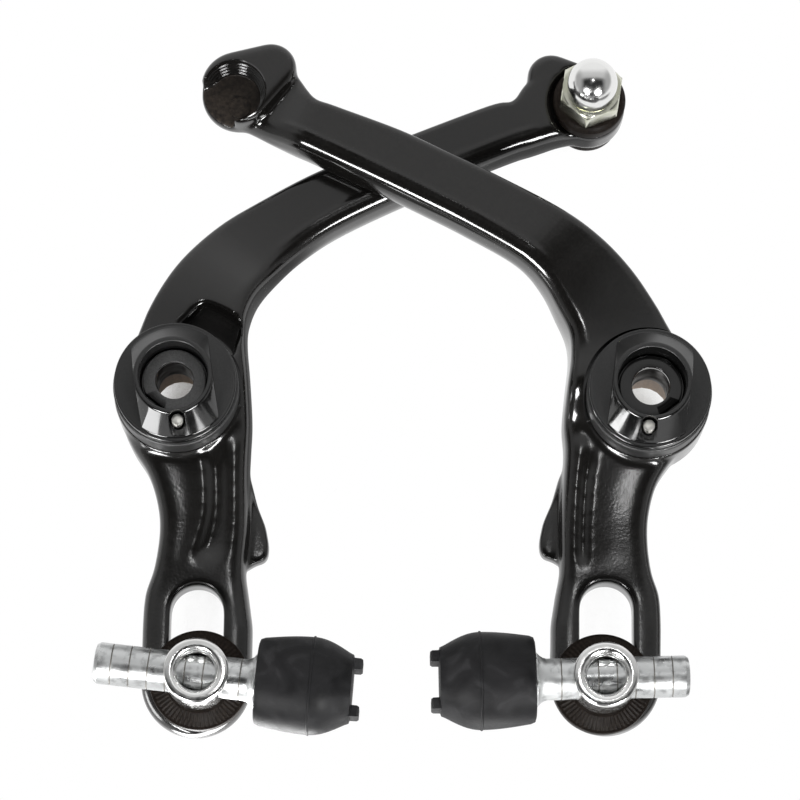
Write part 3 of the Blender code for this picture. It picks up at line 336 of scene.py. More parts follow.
def principled(name, colour, roughness, metallic=0.0, ior=None):
    mat = bpy.data.materials.new(name)
    mat.use_nodes = True
    shader = mat.node_tree.nodes["Principled BSDF"]
    shader.inputs["Base Color"].default_value = (*colour, 1.0)
    shader.inputs["Roughness"].default_value = roughness
    shader.inputs["Metallic"].default_value = metallic
    if ior:
        shader.inputs["IOR"].default_value = ior
    return mat, mat.node_tree, shader


def noise(tree, scale, detail=2.0, stretch=(1, 1, 1), distortion=0.0):
    """Noise in the object's own metres, stretched along the axes."""
    where = node(tree, "Mapping", "Vector",
                 (("Scale", stretch), ("Vector", node(tree, "TexCoord", "Object"))))
    return node(tree, "TexNoise", "Fac", (("Scale", scale), ("Detail", detail),
                                          ("Distortion", distortion), ("Vector", where)))


def ramp(tree, value, stops):
    """A colour ramp from (position, colour) stops; a plain number is a grey."""
    new = tree.nodes.new("ShaderNodeValToRGB")
    elements = new.color_ramp.elements
    while len(elements) < len(stops):
        elements.new(0.5)
    for element, (position, colour) in zip(elements, stops):
        element.position = position
        element.color = grey(colour) if isinstance(colour, (int, float)) else (*colour, 1.0)
    tree.links.new(value, new.inputs["Fac"])
    return new.outputs["Color"]


def vary(tree, shader, socket, value, stops):
    """Let a value drive one of the shader's sockets through a ramp."""
    tree.links.new(ramp(tree, value, stops), shader.inputs[socket])


def bump(tree, shader, heights):
    """Stack bump maps of (height, strength, distance) on the shader's normal."""
    normal = None
    for height, strength, distance in heights:
        inputs = [("Height", height), ("Strength", strength), ("Distance", distance)]
        if normal:
            inputs.append(("Normal", normal))
        normal = node(tree, "Bump", "Normal", inputs)
    tree.links.new(normal, shader.inputs["Normal"])


def black_paint():
    """Thick glossy paint over a cast surface, with orange peel and fine pores, duller on the legs."""
    mat, tree, shader = principled("black_paint_look", (0.004, 0.0038, 0.0036), 0.13, ior=1.62)
    pores = noise(tree, 2200.0, 3.0)
    height = xyz(tree, "Object")[2]
    rough_cast = map_range(tree, height, -0.004, -0.018, 0.14, 0.6)
    bump(tree, shader, ((noise(tree, 480.0, 2.0), 0.16, 0.00005), (pores, rough_cast, 0.00003)))
    duller = map_range(tree, height, -0.002, -0.014, 0.0, 0.06)
    patches = ramp(tree, noise(tree, 160.0, 4.0), ((0.3, 0.1), (0.75, 0.17)))
    feed(tree, shader.inputs["Roughness"], node(tree, "Math", "Value", ((0, duller), (1, patches))))
    vary(tree, shader, "Base Color", pores,
         ((0.3, (0.0028, 0.0026, 0.0024)), (0.8, (0.0055, 0.0051, 0.0047))))
    return mat


def black_enamel():
    """The adjuster's smooth enamel."""
    mat, tree, shader = principled("black_enamel_look", (0.004, 0.0038, 0.0037), 0.1, ior=1.62)
    fine = noise(tree, 3200.0, 3.0)
    bump(tree, shader, ((fine, 0.1, 0.00002),))
    vary(tree, shader, "Roughness", noise(tree, 400.0, 4.0), ((0.35, 0.07), (0.7, 0.14)))
    vary(tree, shader, "Base Color", fine, ((0.3, 0.003), (0.7, 0.005)))
    return mat


def grained(name, colour, roughness, grain, stops, metallic=0.0, ior=None):
    """A material with one grain, as (scale, detail, strength, depth), in its colour and surface."""
    mat, tree, shader = principled(name, colour, roughness, metallic, ior)
    scale, detail, strength, depth = grain
    fine = noise(tree, scale, detail)
    bump(tree, shader, ((fine, strength, depth),))
    vary(tree, shader, "Base Color", fine, stops)
    return mat


def satin_black(name="satin_black_look", light=1.0):
    """The face of a turned black piece: fine grain, less gloss. light scales its colour; the seat washer's
    large one is painted light.
    """
    return grained(name, (0.013, 0.013, 0.0135), 0.4, (3600.0, 4.0, 0.3, 0.00002),
                   ((0.25, 0.005 * light), (0.75, 0.012 * light)))


def steel(name, tint, roughness, scratch=(1, 1, 1)):
    """Bright metal with scratches, dull patches and pits."""
    mat, tree, shader = principled(name, tint, roughness, metallic=1.0)
    patches = noise(tree, 260.0, 4.0, distortion=0.6)
    bump(tree, shader, ((noise(tree, 900.0, 5.0, scratch), 0.22, 0.00003), (patches, 0.25, 0.00008)))
    vary(tree, shader, "Roughness", patches, ((0.3, roughness * 0.6), (0.75, roughness * 1.7)))
    dark = tuple(c * 0.55 for c in tint)
    vary(tree, shader, "Base Color", noise(tree, 700.0, 6.0), ((0.28, dark), (0.5, tint)))
    return mat


def chrome(name, dull, dented):
    """Plating: clear on the dome, mottled where it has been handled."""
    mat, tree, shader = principled(name, (0.82, 0.82, 0.81), 0.1, metallic=1.0)
    bump(tree, shader, ((noise(tree, 330.0, 3.0), dented, 0.00012),))
    vary(tree, shader, "Roughness", noise(tree, 1300.0, 4.0), ((0.35, 0.07 * dull), (0.8, 0.16 * dull)))
    return mat


def rubber():
    """Moulded rubber, dusty and scuffed in patches."""
    mat, tree, shader = principled("rubber_look", (0.012, 0.012, 0.0125), 0.5, ior=1.18)
    dust = noise(tree, 190.0, 6.0, distortion=0.8)
    bump(tree, shader, ((dust, 0.3, 0.00012), (noise(tree, 2300.0, 5.0), 0.6, 0.00005)))
    vary(tree, shader, "Base Color", dust, ((0.3, (0.006, 0.006, 0.0063)), (0.55, (0.011, 0.011, 0.0115)),
                                            (0.75, (0.026, 0.026, 0.027))))
    vary(tree, shader, "Roughness", dust, ((0.3, 0.38), (0.7, 0.6)))
    return mat


# Meshes

def circle(radius, count, start=0.0):
    return [(radius * math.cos(start + 2 * math.pi * i / count),
             radius * math.sin(start + 2 * math.pi * i / count)) for i in range(count)]


def rounded(corners, steps=4):
    """Round a closed profile. Each corner is (radius, depth, fillet)."""
    points = []
    count = len(corners)
    for i, (r, d, fillet) in enumerate(corners):
        here = Vector((r, d))
        before = Vector(corners[i - 1][:2]) - here
        after = Vector(corners[(i + 1) % count][:2]) - here
        if fillet <= 0 or before.length < 1e-9 or after.length < 1e-9:
            points.append((r, d))
            continue
        reach = min(fillet, 0.45 * before.length, 0.45 * after.length)
        start = here + before.normalized() * reach
        end = here + after.normalized() * reach
        for step in range(steps + 1):
            t = step / steps
            p = start * (1 - t) ** 2 + here * 2 * t * (1 - t) + end * t ** 2
            points.append((max(p.x, 0.0), p.y))
    return points


def bridge(bm, rings, closed=False):
    pairs = list(zip(rings, rings[1:]))
    if closed:
        pairs.append((rings[-1], rings[0]))
    for near, far in pairs:
        if len(near) > len(far):
            near, far = far, near
        for i in range(len(far)):
            j = (i + 1) % len(far)
            if len(near) == 1:
                bm.faces.new((near[0], far[i], far[j]))
            else:
                bm.faces.new((near[i], near[j], far[j], far[i]))


def lathe(profile, count, at, start=0.0):
    """Turn a profile of (radius, distance) about an axis; at(x, y, distance) gives the point."""
    bm = bmesh.new()
    rings = []
    for radius, along in profile:
        if radius < 1e-8:
            rings.append([bm.verts.new(at(0.0, 0.0, along))])
        else:
            rings.append([bm.verts.new(at(x, y, along)) for x, y in circle(radius, count, start)])
    bridge(bm, rings, closed=len(rings[0]) > 1)
    return bm


def about(side, centre=(0.0, 0.0)):
    """The axis along d through a point (u, z) of a side."""
    return lambda x, y, d: place(side, centre[0] + x, d, centre[1] + y)


def loft(rings, closed=False):
    """A skin through rings of points, with its ends filled unless it closes on itself."""
    bm = bmesh.new()
    rings = [[bm.verts.new(point) for point in ring] for ring in rings]
    bridge(bm, rings, closed)
    if not closed:
        bm.faces.new(rings[0])
        bm.faces.new(rings[-1])
    return bm


def prism(side, outline, d_rear, d_front):
    """An outline in (u, z) drawn out along d."""
    return loft([[place(side, u, d, z) for u, z in outline] for d in (d_rear, d_front)])


def make(name, bm, mats, angle=35.0):
    """Turn a bmesh into a visible object with its materials."""
    bmesh.ops.remove_doubles(bm, verts=bm.verts, dist=WELD)
    bmesh.ops.recalc_face_normals(bm, faces=bm.faces)
    mesh = bpy.data.meshes.new(name)
    bm.to_mesh(mesh)
    bm.free()
    mesh.shade_smooth()
    if angle:
        mesh.set_sharp_from_angle(angle=math.radians(angle))
    obj = bpy.data.objects.new(name, mesh)
    bpy.context.scene.collection.objects.link(obj)
    for mat in mats:
        mesh.materials.append(mat)
    return obj


def settle(obj):
    """Apply the object's modifiers."""
    deps = bpy.context.evaluated_depsgraph_get()
    mesh = bpy.data.meshes.new_from_object(obj.evaluated_get(deps))
    obj.modifiers.clear()
    obj.data = mesh


def carve(obj, bm, operation="DIFFERENCE"):
    """A Boolean with a bmesh, applied at once."""
    tool = make(obj.name + "_tool", bm, ())
    modifier = obj.modifiers.new("carve", "BOOLEAN")
    modifier.operation = operation
    modifier.object = tool
    settle(obj)
    bpy.data.objects.remove(tool)


def edge_break(obj, width, limit=40.0):
    """A small bevel along the crisp edges, so that they catch the light."""
    modifier = obj.modifiers.new("edges", "BEVEL")
    modifier.width = width
    modifier.segments = 2
    modifier.limit_method = "ANGLE"
    modifier.angle_limit = math.radians(limit)
    settle(obj)
    obj.data.set_sharp_from_angle(angle=math.radians(50.0))


def dress(obj, body, *nodes):
    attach(obj, body)
    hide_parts(*nodes)
    return obj


# The two castings

def catmull(rows, steps):
    fine = []
    last = len(rows) - 1
    for i in range(last):
        group = (rows[max(i - 1, 0)], rows[i], rows[i + 1], rows[min(i + 2, last)])
        for step in range(steps):
            t = step / steps
            fine.append(tuple(
                0.5 * (2 * b + (c - a) * t + (2 * a - 5 * b + 4 * c - d) * t * t
                       + (3 * b - a - 3 * c + d) * t ** 3)
                for a, b, c, d in zip(*group)
            ))
    fine.append(rows[last])
    return fine


def arm_rows(side):
    """Stations as (outer u, outer z, inner u, inner z, front, rear, outer corner, lip)."""
    left = side == "left"
    stations = LEFT_STATIONS if left else RIGHT_STATIONS
    rise = LEFT_RISE if left else RIGHT_RISE
    beam = (BEAM_FRONT, BEAM_REAR) if left else (RIGHT_FRONT, RIGHT_REAR)
    shoulder = LEFT_SHOULDER if left else RIGHT_SHOULDER
    rows = []
    for index, (outer, inner) in enumerate(stations):
        edge = FRONT_EDGE
        lip = 0.0
        if index < len(rise):
            share = rise[index]
            front = shoulder + (beam[0] - shoulder) * share
            rear = BEAM_REAR + (beam[1] - BEAM_REAR) * share
            edge = OUTER_EDGE
            if index > 4 and share == 1:
                lip = LIP
        else:
            foot = index - len(rise)
            front = BOSS_FRONT + (LEG_FRONT - BOSS_FRONT) * FOOT_SHARE[foot]
            rear = BEAM_REAR + (LEG_REAR - BEAM_REAR) * FOOT_SHARE[foot]
        if not left and index < len(RIGHT_DIP):
            front -= RIGHT_DIP[index] * MM
        rows.append((outer[0] * MM, outer[1] * MM, inner[0] * MM, inner[1] * MM,
                     front, rear, edge, lip))
    return rows


def foot_rows(side, template):
    rows = []
    count = 14
    for step in range(count + 1):
        turn = math.radians(87.0) * step / count
        z = LEG_END_Z[side] - LEG_END_RADIUS * math.sin(turn)
        half = LEG_END_RADIUS * math.cos(turn)
        rows.append((SLOT_CENTRE[side] - half, z, SLOT_CENTRE[side] + half, z)
                    + template[4:6] + (FRONT_EDGE, 0.0))
    return rows


def smooth_step(value, start, end):
    share = min(max((value - start) / (end - start), 0.0), 1.0)
    return share * share * (3 - 2 * share)


def between(table, value):
    """Read a table of (z, value) rows that run downwards."""
    if value >= table[0][0]:
        return table[0][1]
    for (high, first), (low, last) in zip(table, table[1:]):
        if value >= low:
            return first + (last - first) * (high - value) / (high - low)
    return table[-1][1]


def corner(cx, cy, radius, first, steps=6):
    """A quarter arc of the section about (cx, cy), from an angle in degrees, clockwise."""
    return [(cx + radius * math.cos(math.radians(first - 90.0 * i / steps)),
             cy + radius * math.sin(math.radians(first - 90.0 * i / steps)))
            for i in range(steps + 1)]


def section(side, row):
    """The closed section at one station, in the world. The leg's front has a shallow and a deep
    channel with a crease between them, and the beam a faint ridge along its lower edge."""
    outer, inner = Vector(row[0:2]), Vector(row[2:4])
    front, rear, edge, lip = row[4:8]
    width = (inner - outer).length
    across = (inner - outer) / width
    fr = min(FRONT_EDGE, 0.42 * width)
    fo = min(edge, 0.42 * width)
    rr = min(REAR_EDGE, 0.42 * width)
    points = corner(width - fr, front - fr, fr, 90.0)
    for i in range(1, 6):
        share = i / 6
        points.append((width + SIDE_BULGE * math.sin(math.pi * share),
                       front - fr + (rear + rr - front + fr) * share))
    points += corner(width - rr, rear + rr, rr, 0.0, 4)
    points += corner(rr, rear + rr, rr, -90.0, 4)
    points += corner(fo, front - fo, fo, 180.0)
    z = (outer.y + inner.y) / 2 / MM
    hollow = HOLLOW_DEPTH * HOLLOW_SHARE[side] * smooth_step(z, *HOLLOW_START)
    hollow *= 1 - smooth_step(z, *HOLLOW_END)
    if outer.x > 20 * MM:
        hollow = 0.0
    faces = 30
    ridge = between(RIDGE[side], z)
    for i in range(1, faces):
        share = i / faces
        s = fo + (width - fr - fo) * share
        if share < ridge:
            dip = CHANNEL * math.sin(math.pi * share / ridge) ** 2
        else:
            dip = math.sin(math.pi * ((share - ridge) / (1 - ridge)) ** 0.8) ** 2
        crease = CREASE * hollow / HOLLOW_DEPTH * near_line(share - ridge, 0.09)
        to_edge = (width - fr - s) / LIP_WIDTH
        rise = lip * math.sin(math.pi * min(to_edge, 1.0)) ** 2
        points.append((s, front - hollow * dip + rise + crease))
    return [place(side, outer.x + across.x * s, d, outer.y + across.y * s) for s, d in points]


def casting(side):
    rows = catmull(arm_rows(side), STEPS)
    rows += foot_rows(side, rows[-1])
    return loft([section(side, row) for row in rows])


def lobe_outline(side, inset=0.0):
    far, near = Vector(HEAD_CENTRE[side]), Vector(LOBE_CENTRE[side])
    along = near - far
    heading = math.atan2(along.y, along.x)
    spread = math.acos((HEAD_RADIUS[side] - LOBE_RADIUS[side]) / along.length)
    outline = []
    for centre, radius, first, last, steps in (
            (far, HEAD_RADIUS[side], heading + spread, heading + 2 * math.pi - spread, 30),
            (near, LOBE_RADIUS[side], heading - spread, heading + spread, 20)):
        for step in range(steps + 1):
            angle = first + (last - first) * step / steps
            outline.append((centre.x + (radius - inset) * math.cos(angle),
                            centre.y + (radius - inset) * math.sin(angle)))
    return outline


def lobe(side, rear, front):
    """The head's raised end with round edges."""
    levels = [(REAR_EDGE, rear), (0.3 * REAR_EDGE, rear + 0.3 * REAR_EDGE), (0.0, rear + REAR_EDGE)]
    for step in range(9):
        turn = math.pi / 2 * step / 8
        levels.append((LOBE_EDGE * (1 - math.cos(turn)), front - LOBE_EDGE * (1 - math.sin(turn))))
    return loft([[place(side, u, d, z) for u, z in lobe_outline(side, inset)] for inset, d in levels])


def ear_outline(side):
    stations = LEFT_STATIONS if side == "left" else RIGHT_STATIONS
    base = stations[EAR_INDEX][1][0] * MM
    shape = ((-0.8, -12.0), (0.05, -13.6), (0.4, -18.4), (0.8, -22.0), (0.97, -25.2),
             (0.95, -27.0), (0.75, -28.0), (0.35, -28.4), (0.05, -29.2), (-0.8, -30.6))
    return [(base + share * EAR_REACH[side], z * MM + EAR_LIFT[side]) for share, z in shape]


def slot_outline(side, steps=24):
    radius = SLOT_WIDTH / 2
    outline = []
    for base, start in ((SLOT_TOP[side] - radius, 0.0), (LEG_END_Z[side] - SLOT_DROP, math.pi)):
        for step in range(steps + 1):
            angle = start + math.pi * step / steps
            outline.append((SLOT_CENTRE[side] + radius * math.cos(angle),
                            base + radius * math.sin(angle)))
    return outline


def scoop():
    """The corner sunk between the left boss and the shoulder. Its floor falls towards the boss."""
    near = BOSS_RADIUS - 1.0 * MM
    count = 40
    lines = []
    for step in range(count):
        share = 1.0 - abs(2 * step / (count - 1) - 1.0)
        angle = math.radians(33.0 + 56.0 * step / (count - 1))
        reach = BOSS_RADIUS + 0.5 * MM + (SCOOP_REACH - BOSS_RADIUS) * smooth_step(share, 0.0, 0.6)
        line = []
        for radius, d in ((near, SCOOP_FLOOR), (reach, SCOOP_FLOOR + SCOOP_SLOPE * (reach - near)),
                          (reach + 1.2 * MM, 40 * MM), (near, 40 * MM)):
            line.append(place("left", radius * math.cos(angle), d, radius * math.sin(angle)))
        lines.append(line)
    return loft(lines)


def to_side(side, point):
    local = point - pivot_of(side)
    return SIGN[side] * local.x, -local.y, local.z


def near_line(value, limit):
    return max(0.0, 1.0 - abs(value) / limit)


def blend_weight(side, u, d, z):
    """How strongly the castings' surface is smoothed at a point, so that its forms flow together."""
    ring = math.hypot(u, z)
    boss = max(near_line(ring - BOSS_RADIUS - 1.0 * MM, 2.6 * MM),
               near_line(ring - 15.0 * MM, 5.0 * MM) if u > 0 and z > 0 and side == "left" else 0.0)
    if d < BOSS_REAR + 2.0 * MM:
        boss = 0.0
    head = Vector((u, z)) - Vector(HEAD_CENTRE[side])
    lobe_at = Vector((u, z)) - Vector(LOBE_CENTRE[side])
    cast = max(near_line(head.length - HEAD_RADIUS[side] - 1.0 * MM, 3.0 * MM),
               near_line(lobe_at.length - LOBE_RADIUS[side] - 0.8 * MM, 2.6 * MM))
    if z < 30 * MM:
        cast = 0.0
    elif head.length < HEAD_RADIUS[side] - 1.5 * MM:
        cast *= 0.3
    ear = 0.0
    edge = (LEFT_STATIONS if side == "left" else RIGHT_STATIONS)[EAR_INDEX][1][0] * MM
    if -33 * MM < z < -10 * MM:
        ear = near_line(u - edge - 0.5 * MM, 4.0 * MM)
    slot = 0.0
    if z < -30 * MM:
        slot = 0.8 * near_line(abs(u - SLOT_CENTRE[side]) - SLOT_WIDTH / 2, 1.6 * MM)
        top = math.hypot(u - SLOT_CENTRE[side], z - SLOT_TOP[side] + SLOT_WIDTH / 2)
        slot = max(slot, 0.8 * near_line(top - SLOT_WIDTH / 2, 1.6 * MM))
    leg = 0.55 * smooth_step(-z, 6 * MM, 10 * MM)
    if side == "right" and 10 * MM < z < 36 * MM and d < RIGHT_REAR + 3 * MM:
        leg = 0.7
    return min(1.0, 1.4 * max(boss, cast, ear, slot, leg))


def tail_hole(side):
    """The slot in the cup's wall for the spring's rear leg. Its far wall comes out too shallow, so
    that the leg's tip cuts into the metal, and faces of this shape stay behind in the cup."""
    spread = math.radians(TAIL_SPREAD)
    rings = []
    for reach in (CUP_RADIUS - 1.2 * MM, CUP_RADIUS + TAIL_LENGTH + FIT):
        ring = []
        for x, y in circle(PEG_HOLE, 20):
            angle = math.radians(TAIL_ANGLE) + x / reach + math.copysign(spread, x)
            ring.append(place(side, reach * math.cos(angle), COIL_REAR + 0.1 * MM + y,
                              reach * math.sin(angle)))
        rings.append(ring)
    return loft(rings)


def pocket_bore(side, front):
    """The stepped pocket for the cable's end."""
    floor = front - POCKET_DEPTH
    corners = [(0.0, floor, 0), (POCKET_RADIUS - POCKET_STEP, floor, 0.25 * MM)]
    steps = 4
    for step in range(steps):
        radius = POCKET_RADIUS - POCKET_STEP * (1 - step / steps)
        level = floor + (0.9 + 0.8 * step) * MM
        corners += [(radius, level, 0.12 * MM), (radius + POCKET_STEP / steps, level + 0.1 * MM, 0.12 * MM)]
    corners += [(POCKET_RADIUS, front - 0.35 * MM, 0.2 * MM), (POCKET_RADIUS + 0.5 * MM, front + 0.3 * MM, 0),
                (POCKET_RADIUS + 0.5 * MM, front + 6 * MM, 0), (0.0, front + 6 * MM, 0)]
    return lathe(rounded(corners, 3), FINE_COUNT, about(side, POCKET_CENTRE))


def pocket_mouth():
    """The open side of the pocket, cast as low as its floor."""
    centre = Vector(POCKET_CENTRE)
    angle = math.radians(POCKET_MOUTH_ANGLE)
    ahead = Vector((math.cos(angle), math.sin(angle)))
    across = Vector((-ahead.y, ahead.x)) * (POCKET_RADIUS * 0.8)
    far = centre + ahead * POCKET_RADIUS * 2.2
    outline = [tuple(p) for p in (centre + across, far + across * 1.2, far - across, centre - across)]
    return prism("right", outline, RIGHT_FRONT - POCKET_DEPTH + 0.05 * MM, RIGHT_FRONT + 6 * MM)


def make_arm(side, mats):
    name = f"cast_arm_{side}"
    arm = make(name, casting(side), (mats["paint"],))
    rear = BEAM_REAR if side == "left" else RIGHT_REAR
    front = BEAM_FRONT if side == "left" else RIGHT_FRONT
    carve(arm, lobe(side, rear + 0.05 * MM, front - 0.05 * MM), "UNION")
    ear_rear = LEG_REAR - 1.2 * MM
    carve(arm, prism(side, ear_outline(side), ear_rear, ear_rear + EAR_THICK), "UNION")
    if side == "left":
        carve(arm, scoop())
    carve(arm, lathe([(0.0, BOSS_REAR), (BOSS_RADIUS, BOSS_REAR), (BOSS_RADIUS, BOSS_FRONT + 0.3 * MM),
                      (0.0, BOSS_FRONT + 0.3 * MM)], FINE_COUNT, about(side)), "UNION")
    if side == "right":
        carve(arm, pocket_mouth())
    carve(arm, prism(side, slot_outline(side), -9 * MM, 40 * MM))
    if side == "left":
        spot = rounded(((0.0, SPOT_FLOOR, 0), (SPOT_RADIUS, SPOT_FLOOR, 0.7 * MM),
                        (SPOT_RADIUS + 0.3 * MM, 30 * MM, 0), (0.0, 30 * MM, 0)))
        carve(arm, lathe(spot, FINE_COUNT, about(side, ANCHOR_AT)))

    remesh = arm.modifiers.new("cast", "REMESH")
    remesh.mode = "VOXEL"
    remesh.voxel_size = VOXEL
    settle(arm)
    group = arm.vertex_groups.new(name="blend")
    for vertex in arm.data.vertices:
        weight = blend_weight(side, *to_side(side, vertex.co))
        if weight > 0.02:
            group.add((vertex.index,), weight, "REPLACE")
    for iterations, masked in ((6, False), (60, True)):
        smooth = arm.modifiers.new("flow", "SMOOTH")
        smooth.factor = 0.5
        smooth.iterations = iterations
        if masked:
            smooth.vertex_group = "blend"
    settle(arm)
    arm.vertex_groups.clear()

    room = BOSS_RADIUS + 0.25 * MM
    carve(arm, lathe([(0.0, BOSS_FRONT), (room, BOSS_FRONT), (room, 40 * MM), (0.0, 40 * MM)],
                     FINE_COUNT, about(side)))
    cup = rounded(((0.0, -9 * MM, 0), (ARM_BORE, -9 * MM, 0), (ARM_BORE, CUP_FLOOR, 0),
                   (CUP_RADIUS, CUP_FLOOR, 0), (CUP_RADIUS, 40 * MM, 0), (0.0, 40 * MM, 0)))
    carve(arm, lathe(cup, FINE_COUNT, about(side)))
    carve(arm, tail_hole(side))
    if side == "left":
        hole = ((0.0, -9 * MM), (M6_BORE, -9 * MM), (M6_BORE, 40 * MM), (0.0, 40 * MM))
        carve(arm, lathe(hole, 48, about(side, ANCHOR_AT)))
    else:
        carve(arm, pocket_bore(side, front))
        mark = (POCKET_CENTRE[0] - 0.7 * MM, POCKET_CENTRE[1] - 1.7 * MM)
        floor = front - POCKET_DEPTH
        carve(arm, lathe(rounded(((0.0, floor - 0.3 * MM, 0), (1.9 * MM, floor - 0.3 * MM, 0),
                                  (1.9 * MM, floor + 0.16 * MM, 0.12 * MM), (0.0, floor + 0.16 * MM, 0))),
                         40, about(side, mark)), "UNION")
        arm.data.materials.append(mats["bare"])
        for face in arm.data.polygons:
            u, d, z = to_side(side, face.center)
            inside = math.hypot(u - POCKET_CENTRE[0], z - POCKET_CENTRE[1]) < POCKET_RADIUS + 3 * MM
            if inside and z > 40 * MM and abs(d - floor) < 0.2 * MM and -face.normal.y > 0.5:
                face.material_index = 1
    arm.data.shade_smooth()
    arm.data.set_sharp_from_angle(angle=math.radians(42.0))
    dress(arm, f"arm_{side}", f"arm_{side}")


# What turns on the pivots

def spring_front_angle(side):
    return math.radians(-90 + ADJUSTER_TURN[side] - PEG_OFFSET)


def spring_path(side):
    top = FLANGE_REAR - FIT - WIRE / 2
    cone_share = (CONE_BASE - SPRING_RADIUS) / (CONE_BASE - FLATS / 2)
    tip = FLANGE_FRONT + CONE_HEIGHT * cone_share - 0.2 * MM
    start = spring_front_angle(side)
    end = math.radians(TAIL_ANGLE) - 6 * math.pi
    bend = SPRING_BEND / SPRING_RADIUS
    path = [(start, SPRING_RADIUS, tip)]
    for step in range(7):
        a = math.pi / 2 * step / 6
        path.append((start - bend * (1 - math.cos(a)), SPRING_RADIUS,
                     top + SPRING_BEND * (1 - math.sin(a))))
    first, last = start - bend, end + bend
    steps = round(abs(last - first) / (2 * math.pi) * 36)
    for step in range(1, steps + 1):
        share = step / steps
        path.append((first + (last - first) * share, SPRING_RADIUS,
                     top + (COIL_REAR - top) * share))
    for step in range(1, 7):
        a = math.pi / 2 * step / 6
        path.append((last - bend * math.sin(a), SPRING_RADIUS + SPRING_BEND * (1 - math.cos(a)),
                     COIL_REAR))
    path.append((end, CUP_RADIUS + TAIL_LENGTH, COIL_REAR))
    return [place(side, r * math.cos(a), d, r * math.sin(a)) for a, r, d in path]


def wire(path, radius, count):
    """A round wire along a path. Its first end is domed."""
    rings = []
    normal = (path[1] - path[0]).orthogonal().normalized()
    last = len(path) - 1
    for index, point in enumerate(path):
        tangent = (path[min(index + 1, last)] - path[max(index - 1, 0)]).normalized()
        normal = (normal - tangent * normal.dot(tangent)).normalized()
        other = tangent.cross(normal)
        sizes = ((0.72, 0.0), (0.93, 0.08), (1.0, 0.22)) if index == 0 else ((1.0, 0.0),)
        for size, forward in sizes:
            at = point + tangent * (radius * forward)
            rings.append([at + (normal * x + other * y) * size for x, y in circle(radius, count)])
    return loft(rings)


